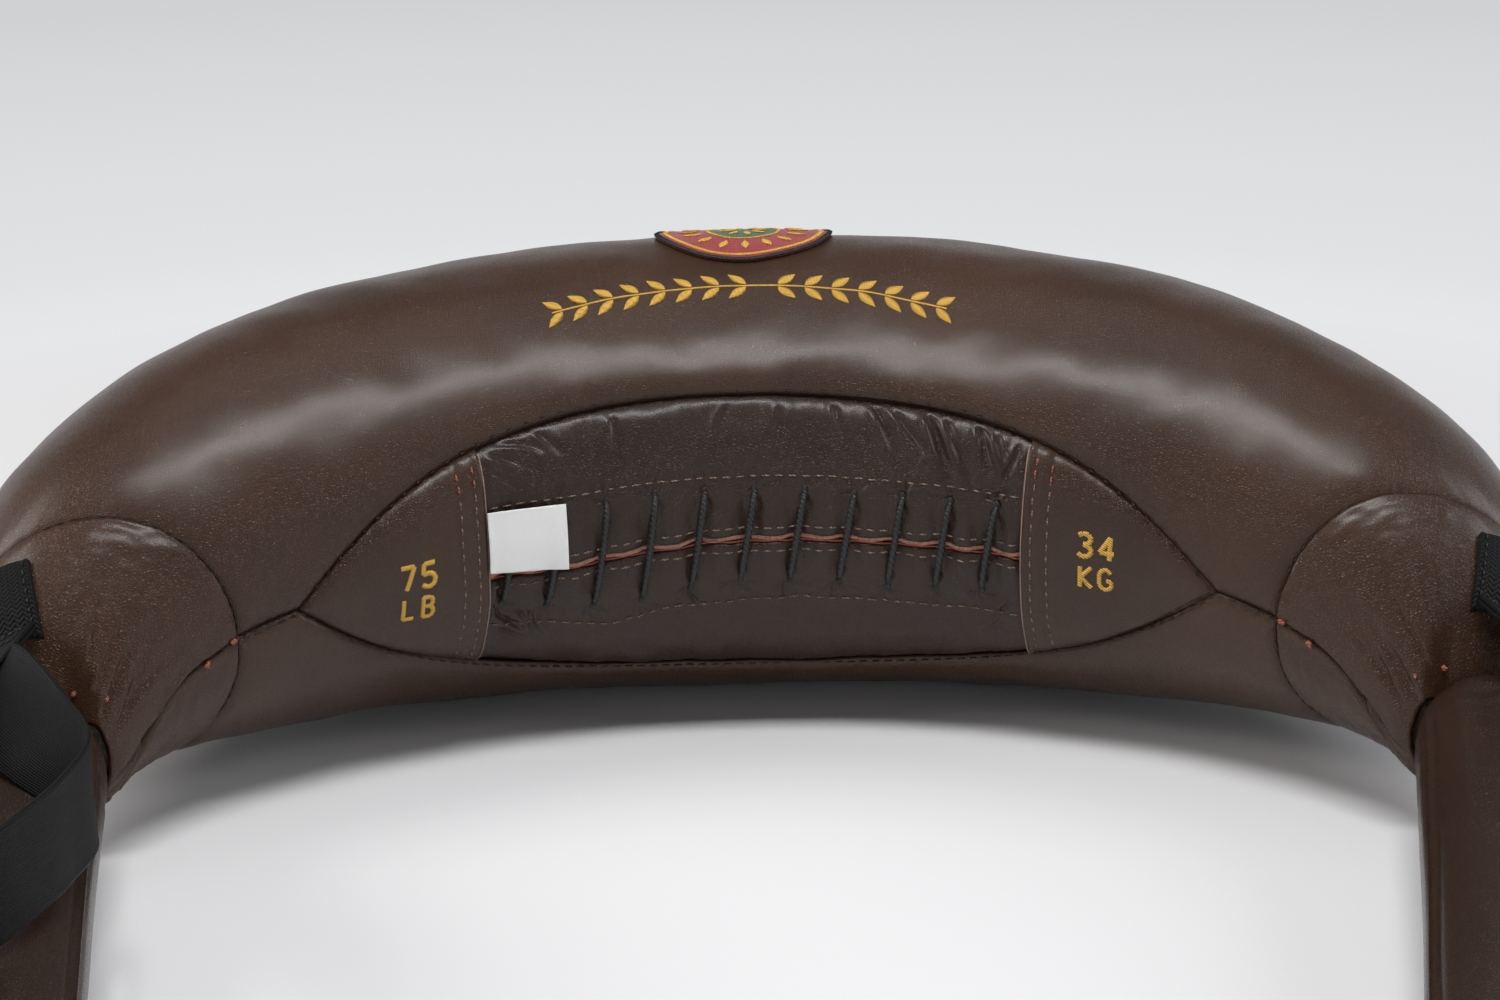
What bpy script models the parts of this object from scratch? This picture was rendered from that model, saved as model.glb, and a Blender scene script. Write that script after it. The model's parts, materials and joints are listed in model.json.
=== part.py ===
"""Bulgarian bag: a leather crescent filled with wool and sand, laced shut on its inner curve.

Metres, +Z up. The bag lies on its belly on the floor, its two arms forward along -Y.
The origin is on the floor, in the middle of the bag's length and depth.

Every leather panel, the wool and the sand sleeves are drawn on one stuffed form. A place on
it has a turn, the angle round the crescent from its middle (negative on the left), and a lean,
the angle round the stuffed section: 0 on the inner curve, 90 degrees on top, 180 at the back.
Depth is measured from the outside of the leather inwards.
"""
import math

import bmesh
import bpy
from mathutils import Matrix, Vector

# The stuffed form
BODY_RADIUS = 0.115
SPAN_HALF = 0.3214
CURVE_DEPTH = 0.2308
BELLY_SAG = 0.003
TIP_DROP = 0.0431
DROP_POWER = 4
MOUTH_DROP = 0.018
MOUTH_DROP_POWER = 20
TAPER_TURN = math.radians(90.57)
MOUTH_RADIUS = 0.027

# Leather, and the clearances that sewn, lapped and stuffed neighbours keep
LEATHER = 0.002
FIT_GAP = 0.0003
LAP_GAP = 0.0006
STUFF_GAP = 0.001
LINING_GAP = 0.0017
SEAM_LAP = 0.004

# Seams
TIP_SEAM_TURN = math.radians(75)
TIP_SEAM_SKEW = math.radians(5.4)
TIP_SEAM_ROLL = math.radians(20)
TIP_SEAM_FALL = math.radians(35)
TIP_SEAM_FALL_POWER = 4
LENS_TURN = math.radians(59.8)
LENS_UP = math.radians(38)
LENS_DOWN = math.radians(43)
LENS_POWER = 2.6
SEAM_LEAN = math.radians(-3.6)
WING_EDGE_TURN = math.radians(32)
WING_TIP_SHARE = 0.965
WING_LAP = 0.014

# The laced slit
SLIT_LEAN = math.radians(-3)
SLIT_OPEN = 0.0025
FACING = 0.0015
FACING_WIDTH = 0.036
FACING_PEEP = 0.0006
LACE_COUNT = 11
LACE_RADIUS = 0.0018
LACE_CLEAR = 0.0006
LACE_FIRST_TURN = math.radians(-29.2)
LACE_LAST_TURN = math.radians(27.6)
LACE_SLANT = math.radians(1.7)
LACE_TOP_LEAN = math.radians(10)
LACE_BOTTOM_LEAN = math.radians(-15)
LACE_CROSSING_SHARES = (1 / 3, 2 / 3)

# Filling
WOOL_THICKNESS = 0.021
CLOSURE_SPACE = 0.013
CLOSURE_FADE_TURN = math.radians(8)
CLOSURE_REACH = math.radians(64)
CLOSURE_FADE_LEAN = math.radians(14)
SLEEVE_TURN = math.radians(25)
SLEEVE_END_TURN = math.radians(70)
SLEEVE_PARTING = math.radians(1.2)
SLEEVE_ROUNDING = 0.018
SLEEVE_ROUNDING_POWER = 8
WOOL_END_TURN = math.radians(74)

# Arms
ARM_ROOT_RADIUS = 0.033
ARM_END_RADIUS = 0.028
ARM_LENGTH = 0.250
LEFT_TOE_IN = math.radians(9.2)
RIGHT_TOE_IN = math.radians(15.6)
ARM_FLOOR_GAP = 0.0003
ARM_HOLE_RADIUS = 0.012
ARM_CAP_DOME = 0.003
ARM_CAP_RIM = 0.009

# Label and badge
LABEL_WIDTH = 0.035
LABEL_HEIGHT = 0.032
LABEL_THICKNESS = 0.0005
LABEL_RISE = 0.005
LABEL_LEAN = math.radians(2.3)
BADGE_RADIUS = 0.046
BADGE_THICKNESS = 0.0018
BADGE_RING = 0.014
BADGE_LEAN = math.radians(98)

# Webbing straps
STRAP_WIDTH = 0.045
STRAP_THICKNESS = 0.0018
STRAP_HINGE_GAP = 0.0004
TAB_CUT_BACK = 0.0026
BAND_START_LEAN = math.radians(129)
BAND_END_LEAN = math.radians(120)
BAND_END_TURN = math.radians(85.3)
BAND_SEAM_GAP = 0.0015
TAB_LENGTH = 0.020
TAB_ROLL = math.radians(28)
LOOP_REACH = 0.215
LEFT_LOOP_SHARES = (
    # forward, outward and up from the tab's end, and the roll in right angles
    (0.00, 0.000, 0.000, 0.31), (0.05, 0.000, 0.000, 0.31), (0.15, -0.079, 0.010, 0.36),
    (0.32, -0.225, -0.003, 0.58), (0.47, -0.378, -0.038, 0.98), (0.65, -0.391, -0.038, 1.00),
    (0.79, -0.371, -0.035, 1.00), (0.90, -0.329, -0.045, 1.00), (1.00, -0.241, -0.069, 1.00),
    (0.96, -0.134, -0.087, 1.00), (0.81, -0.056, -0.106, 0.98), (0.58, -0.001, -0.106, 0.90),
    (0.35, 0.025, -0.078, 0.70), (0.16, 0.014, -0.031, 0.45), (0.05, 0.000, 0.000, 0.31),
    (0.00, 0.000, 0.000, 0.31))
RIGHT_LOOP_SHARES = (
    (0.00, 0.000, 0.000, 0.31), (0.05, 0.000, 0.000, 0.31), (0.16, -0.028, -0.064, 0.42),
    (0.30, -0.082, -0.129, 0.50), (0.46, -0.110, -0.194, 0.72), (0.62, -0.168, -0.245, 0.87),
    (0.76, -0.225, -0.292, 1.00), (0.87, -0.275, -0.334, 1.00), (0.93, -0.294, -0.348, 1.00),
    (0.97, -0.275, -0.352, 1.00), (0.94, -0.244, -0.348, 1.00), (0.87, -0.207, -0.334, 1.00),
    (0.74, -0.151, -0.287, 0.96), (0.58, -0.091, -0.213, 0.80), (0.40, -0.047, -0.129, 0.62),
    (0.20, -0.010, -0.055, 0.46), (0.05, 0.000, 0.000, 0.31), (0.00, 0.000, 0.000, 0.31))

# Fineness of the drawn surfaces, in cells
LENS_CELLS = (5, 4, 1, 4)
TOP_CELLS = 13
BOTTOM_CELLS = 12
TIP_CELLS = (6, 12)
WING_CELLS = 10
FLAP_CELLS = (16, 6)
FACING_CELLS = (16, 3)
WOOL_CELLS = (18, 16)
SLEEVE_CELLS = (7, 16)
PLUG_CELLS = (4, 16)
BAND_CELLS = (5, 6)
TAB_CELLS = (2, 2)
LOOP_CELLS_EACH = 2
ARM_SIDES = 16
ARM_ROOT_RINGS = 5
ARM_RING_SHARES = (1 / 3, 2 / 3, 1)
BALL_RINGS = 8
BADGE_SIDES = 24
BADGE_RINGS = 2
HOLE_SIDES = 6
LABEL_CELLS = (6, 3)
SLOPE_STEP_SHARE = 0.01
SHARP_ANGLE = math.radians(40)

UP = Vector((0, 0, 1))
FLAP_DEPTH = LEATHER + LAP_GAP
FACING_DEPTH = FLAP_DEPTH + LEATHER + LAP_GAP
LACE_BEND = LACE_CLEAR + LACE_RADIUS
LACE_OVER = FLAP_DEPTH - LACE_BEND
LACE_UNDER = FACING_DEPTH + FACING + LACE_CLEAR + LACE_RADIUS
WOOL_DEPTH = LEATHER + LINING_GAP
SAND_DEPTH = WOOL_DEPTH + WOOL_THICKNESS + LINING_GAP


def mix(low, high, share):
    return low + (high - low) * share


def fade(value):
    """0 below 0, 1 above 1, straight between."""
    return min(1, max(0, value))


def section_radius(turn):
    return BODY_RADIUS * math.sqrt(1 - (turn / TAPER_TURN) ** 2)


def turn_of_radius(radius):
    """The turn at which the tapering section has this radius."""
    return TAPER_TURN * math.sqrt(1 - (radius / BODY_RADIUS) ** 2)


MOUTH_TURN = turn_of_radius(MOUTH_RADIUS)


def mouth_to_pivot():
    """Way from the mouth's rim to the pivot, which seats the arm's round root on the rim."""
    rim = MOUTH_RADIUS - LEATHER
    return math.sqrt((ARM_ROOT_RADIUS + LACE_CLEAR) ** 2 - rim ** 2)


def arm_dip():
    """Angle by which a resting arm slopes down until its end lies on the floor."""
    height = BODY_RADIUS - BELLY_SAG - TIP_DROP - MOUTH_DROP - ARM_FLOOR_GAP
    length = ARM_LENGTH + LEATHER + FIT_GAP
    slant = math.hypot(length, ARM_END_RADIUS)
    return math.asin(height / slant) - math.atan(ARM_END_RADIUS / length)


def arm_reach():
    """How far the straighter arm's end lies in front of the crescent's back centre line."""
    pivot_y = CURVE_DEPTH * (1 - math.cos(MOUTH_TURN)) + mouth_to_pivot()
    forward = math.cos(min(LEFT_TOE_IN, RIGHT_TOE_IN)) * math.cos(arm_dip())
    length = ARM_LENGTH + FIT_GAP + LEATHER + ARM_CAP_DOME
    crown = ARM_END_RADIUS - ARM_CAP_RIM
    return pivot_y + length * forward + crown * math.sqrt(1 - forward ** 2)


SHIFT_Y = (arm_reach() - BODY_RADIUS) / 2


def centre(turn):
    """Centre line of the stuffed form."""
    share = abs(turn) / MOUTH_TURN
    drop = TIP_DROP * share ** DROP_POWER + MOUTH_DROP * share ** MOUTH_DROP_POWER
    return Vector((SPAN_HALF * math.sin(turn), SHIFT_Y - CURVE_DEPTH * (1 - math.cos(turn)),
                   BODY_RADIUS - BELLY_SAG - drop))


def along(turn):
    """Direction of the centre line, seen from above."""
    return Vector((SPAN_HALF * math.cos(turn), -CURVE_DEPTH * math.sin(turn), 0)).normalized()


def outward(turn, lean):
    """Direction out of the stuffed section."""
    way = along(turn)
    inner = Vector((way.y, -way.x, 0))
    return inner * math.cos(lean) + UP * math.sin(lean)


def skin(turn, lean, depth):
    """Place on the stuffed form; its belly is pressed flat on the floor."""
    place = centre(turn) + outward(turn, lean) * (section_radius(turn) - depth)
    place.z = max(place.z, depth)
    return place


def lens_top(turn):
    """Upper edge of the eye-shaped closure, which closes to one seam at its two corners."""
    return SEAM_LEAN + LENS_UP * (1 - min(1, abs(turn) / LENS_TURN) ** LENS_POWER)


def lens_bottom(turn):
    return SEAM_LEAN - LENS_DOWN * (1 - min(1, abs(turn) / LENS_TURN) ** LENS_POWER)


def straight(turn, lean):
    return turn


def slanted(turn, lean):
    """Shift a turn near the tip seam, which leans back on top and forward on the inner curve."""
    size = abs(turn)
    before = (size - LENS_TURN) / (TIP_SEAM_TURN - LENS_TURN)
    behind = (MOUTH_TURN - size) / (MOUTH_TURN - TIP_SEAM_TURN)
    shift = TIP_SEAM_SKEW * math.cos(lean + TIP_SEAM_ROLL) * fade(min(before, behind))
    return turn - math.copysign(1, turn) * shift


def as_lean(width, turn=0.0):
    """A width across the leather as an angle round the section."""
    return width / section_radius(turn)


def as_turn(length):
    """A length along the crescent's inner side as an angle round it."""
    return length / (SPAN_HALF - BODY_RADIUS)


def seam_turns():
    """Turns at which the long panels are drawn, closest where the closure's corners need it."""
    marks = (0, WING_EDGE_TURN, LENS_TURN * WING_TIP_SHARE, LENS_TURN, TIP_SEAM_TURN)
    half = [mix(marks[part], marks[part + 1], step / cells)
            for part, cells in enumerate(LENS_CELLS) for step in range(cells)]
    half.append(TIP_SEAM_TURN)
    return [-turn for turn in reversed(half[1:])] + half


def material(name, colour, roughness, metallic=0.0):
    found = bpy.data.materials.get(name)
    if found:
        return found
    made = bpy.data.materials.new(name)
    made.use_nodes = True
    shader = made.node_tree.nodes["Principled BSDF"]
    shader.inputs["Base Color"].default_value = (*colour, 1)
    shader.inputs["Roughness"].default_value = roughness
    shader.inputs["Metallic"].default_value = metallic
    return made


def brown_leather():
    return material("brown_leather", (0.040, 0.026, 0.022), 0.42)


def suede():
    return material("suede", (0.280, 0.110, 0.085), 0.80)


def webbing():
    return material("black_webbing", (0.012, 0.012, 0.013), 0.75)


def wool():
    return material("grey_wool", (0.420, 0.390, 0.350), 0.95)


def canvas():
    return material("sand_canvas", (0.500, 0.430, 0.310), 0.85)


def finish(name, mesh_data, look, place=None, parent=None):
    """Turn a bmesh into a named object with its own material."""
    bmesh.ops.recalc_face_normals(mesh_data, faces=mesh_data.faces)
    mesh = bpy.data.meshes.new(name)
    mesh_data.to_mesh(mesh)
    mesh_data.free()
    mesh.shade_smooth()
    mesh.set_sharp_from_angle(angle=SHARP_ANGLE)
    thing = bpy.data.objects.new(name, mesh)
    thing.data.materials.append(look)
    bpy.context.collection.objects.link(thing)
    if place is not None:
        thing.matrix_world = place
    if parent is not None:
        thing.parent = parent
    return thing


def grid_sheet(cells, outer, wrap=False):
    """A grid whose points go where outer(across, up) says, both from 0 to 1."""
    sheet = bmesh.new()
    share = sheet.verts.layers.float_vector.new("share")
    bmesh.ops.create_grid(sheet, x_segments=cells[0], y_segments=cells[1], size=0.5)
    for point in sheet.verts:
        point[share] = (point.co.x + 0.5, point.co.y + 0.5, 0)
        point.co = outer(point[share].x, point[share].y)
    if wrap:
        bmesh.ops.remove_doubles(sheet, verts=sheet.verts, dist=FIT_GAP / 2)
    return sheet, share


def solid_sheet(name, cells, outer, inner, look, wrap=False, parent=None):
    """A sheet between two surfaces, closed all round."""
    sheet, share = grid_sheet(cells, outer, wrap)
    pulled = bmesh.ops.extrude_face_region(sheet, geom=sheet.faces[:])["geom"]
    for item in pulled:
        if isinstance(item, bmesh.types.BMVert):
            item.co = inner(item[share].x, item[share].y)
    if parent is not None:
        bmesh.ops.transform(sheet, matrix=parent.matrix_world.inverted(), verts=sheet.verts)
    return finish(name, sheet, look, parent=parent)


def draped(turns, leans, depth, shift=straight):
    """Places on the stuffed form between some turns, given as a list or as two ends."""
    def place(across, up):
        step = across * (len(turns) - 1)
        first = min(int(step), len(turns) - 2)
        turn = mix(turns[first], turns[first + 1], step - first)
        low, high = leans(turn)
        lean = mix(low, high, up)
        return skin(shift(turn, lean), lean, depth(turn, lean))
    return place


def draped_panel(name, turns, leans, cells, outer, inner, look, wrap=False, shift=straight):
    return solid_sheet(name, cells, draped(turns, leans, outer, shift),
                       draped(turns, leans, inner, shift), look, wrap)


def draped_plug(name, turns, cells, depth, look):
    """A solid length of the stuffed form, closed by its two end faces."""
    body, share = grid_sheet(cells, draped(turns, all_round, depth), wrap=True)
    bmesh.ops.holes_fill(body, edges=body.edges)
    return finish(name, body, look)


def level(depth):
    return lambda turn, lean: depth


def all_round(turn):
    return -math.pi, math.pi


def cover_panels():
    """The two long panels, joined along the back and along the inner curve."""
    def top_leans(turn):
        gap = as_lean(FIT_GAP, turn) / 2
        return lens_top(turn) + gap, math.pi - gap

    def bottom_leans(turn):
        gap = as_lean(FIT_GAP, turn) / 2
        return gap - math.pi, lens_bottom(turn) - gap

    turns = seam_turns()
    draped_panel("top_panel", turns, top_leans, (len(turns) - 1, TOP_CELLS), level(0),
                 level(LEATHER), brown_leather(), shift=slanted)
    draped_panel("bottom_panel", turns, bottom_leans, (len(turns) - 1, BOTTOM_CELLS), level(0),
                 level(LEATHER), brown_leather(), shift=slanted)


def tip_panels(side, word):
    """The two panels that narrow to the mouth the arm is sewn into."""
    wide = section_radius(TIP_SEAM_TURN + FIT_GAP / CURVE_DEPTH)
    count = TIP_CELLS[0]
    turns = [side * turn_of_radius(mix(wide, MOUTH_RADIUS, step / count))
             for step in range(count + 1)]

    def seam(turn):
        share = fade((abs(turn) - TIP_SEAM_TURN) / (MOUTH_TURN - TIP_SEAM_TURN))
        return SEAM_LEAN - TIP_SEAM_FALL * share ** TIP_SEAM_FALL_POWER

    def upper(turn):
        gap = as_lean(FIT_GAP, turn) / 2
        return seam(turn) + gap, math.pi - gap

    def lower(turn):
        gap = as_lean(FIT_GAP, turn) / 2
        return gap - math.pi, seam(turn) - gap

    draped_panel(word + "_tip_upper_panel", turns, upper, TIP_CELLS, level(0), level(LEATHER),
                 brown_leather(), shift=slanted)
    draped_panel(word + "_tip_lower_panel", turns, lower, TIP_CELLS, level(0), level(LEATHER),
                 brown_leather(), shift=slanted)


def closure_wing(side, word):
    """Triangle of leather whose raw edge laps over the ends of the laced flaps."""
    def leans(turn):
        gap = as_lean(FIT_GAP, turn) / 2
        return lens_bottom(turn) + gap, lens_top(turn) - gap

    turns = (side * WING_EDGE_TURN, side * LENS_TURN * WING_TIP_SHARE)
    draped_panel(word + "_closure_wing", turns, leans, (LENS_CELLS[1], WING_CELLS), level(0),
                 level(LEATHER), brown_leather())


def lace_places():
    """Turn and lean of the upper and the lower hole of each crossing, left to right."""
    step = (LACE_LAST_TURN - LACE_FIRST_TURN) / (LACE_COUNT - 1)
    for number in range(LACE_COUNT):
        turn = LACE_FIRST_TURN + number * step
        yield (turn + LACE_SLANT / 2, LACE_TOP_LEAN), (turn - LACE_SLANT / 2, LACE_BOTTOM_LEAN)


def punch(panel, holes):
    """Punch the lace's round holes through a panel, square to the leather."""
    cutter = bmesh.new()
    radius = LACE_RADIUS + LACE_CLEAR
    for turn, lean in holes:
        way = outward(turn, lean)
        spot = skin(turn, lean, FACING_DEPTH)
        place = Matrix.Translation(spot) @ UP.rotation_difference(way).to_matrix().to_4x4()
        bmesh.ops.create_cone(cutter, cap_ends=True, segments=HOLE_SIDES, radius1=radius,
                              radius2=radius, depth=2 * LACE_UNDER, matrix=place)
    tool = finish(panel.name + "_punch", cutter, brown_leather())
    tool.hide_render = True
    tool.display_type = "WIRE"
    cut = panel.modifiers.new("holes", "BOOLEAN")
    cut.operation = "DIFFERENCE"
    cut.solver = "EXACT"
    cut.object = tool


def laced_flaps():
    """The two flaps that the lace draws together, each with a facing sewn behind its edge."""
    reach = WING_EDGE_TURN + as_turn(WING_LAP)
    turns = (-reach, reach)
    lap = as_lean(SEAM_LAP)
    edge_up = SLIT_LEAN + as_lean(SLIT_OPEN) / 2
    edge_down = SLIT_LEAN - as_lean(SLIT_OPEN) / 2
    peep = as_lean(FACING_PEEP)
    width = as_lean(FACING_WIDTH)
    pieces = {
        "upper_laced_flap": lambda turn: (edge_up, lens_top(turn) + lap),
        "lower_laced_flap": lambda turn: (lens_bottom(turn) - lap, edge_down),
        "upper_facing": lambda turn: (edge_up - peep, edge_up + width),
        "lower_facing": lambda turn: (edge_down - width, edge_down + peep)}
    for name, leans in pieces.items():
        if "facing" in name:
            piece = draped_panel(name, turns, leans, FACING_CELLS, level(FACING_DEPTH),
                                 level(FACING_DEPTH + FACING), suede())
        else:
            piece = draped_panel(name, turns, leans, FLAP_CELLS, level(FLAP_DEPTH),
                                 level(FLAP_DEPTH + LEATHER), brown_leather())
        punch(piece, [pair["lower" in name] for pair in lace_places()])


def lace_route():
    """Centre line of the lace: up through a hole, across the slit, down and on below."""
    bend = as_lean(LACE_BEND)
    rounding = 1 - math.cos(math.radians(45))
    places = list(lace_places())
    route = []
    for number, ((turn_up, lean_up), (turn_down, lean_down)) in enumerate(places):
        route.append(skin(turn_up, lean_up, LACE_UNDER))
        route.append(skin(turn_up, lean_up, LACE_OVER + LACE_BEND))
        route.append(skin(turn_up, lean_up - bend * rounding, LACE_OVER + LACE_BEND * rounding))
        route.append(skin(turn_up, lean_up - bend, LACE_OVER))
        for share in LACE_CROSSING_SHARES:
            route.append(skin(mix(turn_up, turn_down, share), mix(lean_up, lean_down, share),
                              LACE_OVER))
        route.append(skin(turn_down, lean_down + bend, LACE_OVER))
        route.append(skin(turn_down, lean_down + bend * rounding,
                          LACE_OVER + LACE_BEND * rounding))
        route.append(skin(turn_down, lean_down, LACE_OVER + LACE_BEND))
        route.append(skin(turn_down, lean_down, LACE_UNDER))
        if number + 1 < len(places):
            turn_next, lean_next = places[number + 1][0]
            route.append(skin((turn_down + turn_next) / 2, (lean_down + lean_next) / 2,
                              LACE_UNDER))
    return route


def lace():
    """One waxed lace, whipped over the slit eleven times."""
    curve = bpy.data.curves.new("lace", "CURVE")
    curve.dimensions = "3D"
    curve.bevel_depth = LACE_RADIUS
    curve.bevel_resolution = 1
    curve.use_fill_caps = True
    line = curve.splines.new("POLY")
    points = lace_route()
    line.points.add(len(points) - 1)
    for point, place in zip(line.points, points):
        point.co = (*place, 1)
    thing = bpy.data.objects.new("lace", curve)
    thing.data.materials.append(material("black_lace", (0.010, 0.010, 0.011), 0.55))
    bpy.context.collection.objects.link(thing)


def wool_depth(turn, lean):
    """The wool stands back behind the closure, where the lace passes below the flaps."""
    sideways = fade((LENS_TURN + CLOSURE_FADE_TURN - abs(turn)) / CLOSURE_FADE_TURN)
    round_it = fade((CLOSURE_REACH - abs(lean - SLIT_LEAN)) / CLOSURE_FADE_LEAN)
    return mix(WOOL_DEPTH, CLOSURE_SPACE, sideways * round_it)


def plug_end_turn():
    """Where the tip's wool stops, to leave room for the arm's round root in the mouth."""
    room = ARM_ROOT_RADIUS - mouth_to_pivot() + STUFF_GAP
    return MOUTH_TURN - room / CURVE_DEPTH


def filling():
    """Wool wadding round three canvas sleeves of sand, and a plug of wool in each tip."""
    draped_panel("wool_wadding", (-WOOL_END_TURN, WOOL_END_TURN), all_round, WOOL_CELLS,
                 wool_depth, level(WOOL_DEPTH + WOOL_THICKNESS), wool(), wrap=True)
    sleeves = {"left_sand_sleeve": (-SLEEVE_END_TURN, -SLEEVE_TURN - SLEEVE_PARTING),
               "middle_sand_sleeve": (-SLEEVE_TURN, SLEEVE_TURN),
               "right_sand_sleeve": (SLEEVE_TURN + SLEEVE_PARTING, SLEEVE_END_TURN)}
    for name, turns in sleeves.items():
        middle = (turns[0] + turns[1]) / 2
        half = abs(turns[1] - turns[0]) / 2

        def rounded(turn, lean, middle=middle, half=half):
            return SAND_DEPTH + SLEEVE_ROUNDING * (
                abs(turn - middle) / half) ** SLEEVE_ROUNDING_POWER

        draped_plug(name, turns, SLEEVE_CELLS, rounded, canvas())
    start = WOOL_END_TURN + STUFF_GAP / CURVE_DEPTH
    for side, word in ((-1, "left"), (1, "right")):
        draped_plug(word + "_tip_wool", (side * start, side * plug_end_turn()), PLUG_CELLS,
                    level(WOOL_DEPTH), wool())


def pivot(side):
    """Where an arm bends: on the mouth's axis, in front of its rim."""
    return centre(side * MOUTH_TURN) + along(side * MOUTH_TURN) * side * mouth_to_pivot()


def turned(profile, sides):
    """Solid of revolution about Z from a closed outline of radius and height pairs."""
    solid = bmesh.new()
    ring = [solid.verts.new((radius, 0, height)) for radius, height in profile]
    edges = [solid.edges.new((ring[i - 1], ring[i])) for i in range(len(ring))]
    bmesh.ops.spin(solid, geom=ring + edges, axis=UP, cent=(0, 0, 0), angle=2 * math.pi,
                   steps=sides, use_merge=True)
    return solid


def ball_arc(radius, start, stop, steps):
    """Points on a ball about the origin, by angle from its back pole."""
    for number in range(steps + 1):
        angle = mix(start, stop, number / steps)
        yield radius * math.sin(angle), -radius * math.cos(angle)


def arm_place(side):
    """Matrix that points +Z from the pivot along the arm, with +X downwards."""
    dip = arm_dip()
    toe_in = RIGHT_TOE_IN if side > 0 else LEFT_TOE_IN
    way = Vector((-side * math.sin(toe_in) * math.cos(dip),
                  -math.cos(toe_in) * math.cos(dip), -math.sin(dip)))
    across = way.cross(UP).normalized()
    down = way.cross(across)
    if down.z > 0:
        down.negate()
    axes = Matrix((down, way.cross(down), way)).transposed()
    return Matrix.Translation(pivot(side)) @ axes.to_4x4()


def arm(side, word):
    """Stuffed leather arm: round sewn root, tapering grip, wool core and end cap."""
    hub = bpy.data.objects.new(word + "_arm_pivot", None)
    bpy.context.collection.objects.link(hub)
    hub.matrix_world = arm_place(side)
    hole = math.asin(ARM_HOLE_RADIUS / ARM_ROOT_RADIUS)
    outside = list(ball_arc(ARM_ROOT_RADIUS, hole, math.pi / 2, ARM_ROOT_RINGS))
    inside = list(ball_arc(ARM_ROOT_RADIUS - LEATHER, hole, math.pi / 2, ARM_ROOT_RINGS))
    for share in ARM_RING_SHARES:
        radius = mix(ARM_ROOT_RADIUS, ARM_END_RADIUS, share)
        outside.append((radius, ARM_LENGTH * share))
        inside.append((radius - LEATHER, ARM_LENGTH * share))
    finish(word + "_arm_cover", turned(outside + inside[::-1], ARM_SIDES), brown_leather(),
           parent=hub)

    ball = ARM_ROOT_RADIUS - LEATHER - STUFF_GAP
    wad = bmesh.new()
    bmesh.ops.create_uvsphere(wad, u_segments=ARM_SIDES, v_segments=BALL_RINGS, radius=ball)
    finish(word + "_neck_wool", wad, wool(), parent=hub)

    start = ball + FIT_GAP
    core_radius = ARM_ROOT_RADIUS - LEATHER - FIT_GAP
    end_radius = ARM_END_RADIUS - LEATHER - FIT_GAP
    core = bmesh.new()
    bmesh.ops.create_cone(core, cap_ends=True, segments=ARM_SIDES,
                          radius1=mix(core_radius, end_radius, start / ARM_LENGTH),
                          radius2=end_radius, depth=ARM_LENGTH - start,
                          matrix=Matrix.Translation(UP * (ARM_LENGTH + start) / 2))
    finish(word + "_arm_core", core, wool(), parent=hub)

    base = ARM_LENGTH + FIT_GAP
    cap = bmesh.new()
    bmesh.ops.create_cone(cap, cap_ends=True, segments=ARM_SIDES, radius1=ARM_END_RADIUS,
                          radius2=ARM_END_RADIUS, depth=LEATHER,
                          matrix=Matrix.Translation(UP * (base + LEATHER / 2)))
    crown = max(cap.faces, key=lambda face: face.calc_center_median().z)
    bmesh.ops.inset_region(cap, faces=[crown], thickness=ARM_CAP_RIM)
    bmesh.ops.translate(cap, verts=crown.verts, vec=UP * ARM_CAP_DOME)
    finish(word + "_arm_cap", cap, brown_leather(), parent=hub)


def label_hinge():
    """Place of the label's sewn edge, with +Y up along it and +Z out of the leather."""
    turn = -WING_EDGE_TURN + as_turn(FIT_GAP)
    half = as_lean(LABEL_HEIGHT) / 2
    rise = skin(turn, LABEL_LEAN + half, 0) - skin(turn, LABEL_LEAN - half, 0)
    rise.normalize()
    face = outward(turn, LABEL_LEAN)
    face = (face - rise * face.dot(rise)).normalized()
    axes = Matrix((rise.cross(face), rise, face)).transposed()
    return Matrix.Translation(skin(turn, LABEL_LEAN, -FIT_GAP)) @ axes.to_4x4()


def label():
    """White cloth label, sewn at its left edge, lying over the first crossings of the lace."""
    first = -WING_EDGE_TURN + as_turn(FIT_GAP)
    last = first + as_turn(LABEL_WIDTH)
    half = as_lean(LABEL_HEIGHT) / 2
    crest = LACE_RADIUS + LACE_CLEAR - LACE_OVER

    def surface(lift):
        def place(across, up):
            height = mix(FIT_GAP, crest, fade(across * LABEL_WIDTH / LABEL_RISE))
            return skin(mix(first, last, across), LABEL_LEAN + half * (2 * up - 1),
                        -height - lift)
        return place

    hub = bpy.data.objects.new("label_pivot", None)
    bpy.context.collection.objects.link(hub)
    hub.matrix_world = label_hinge()
    bpy.context.view_layer.update()
    solid_sheet("label", LABEL_CELLS, surface(LABEL_THICKNESS), surface(0),
                material("white_label", (0.800, 0.800, 0.790), 0.70), parent=hub)


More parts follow.
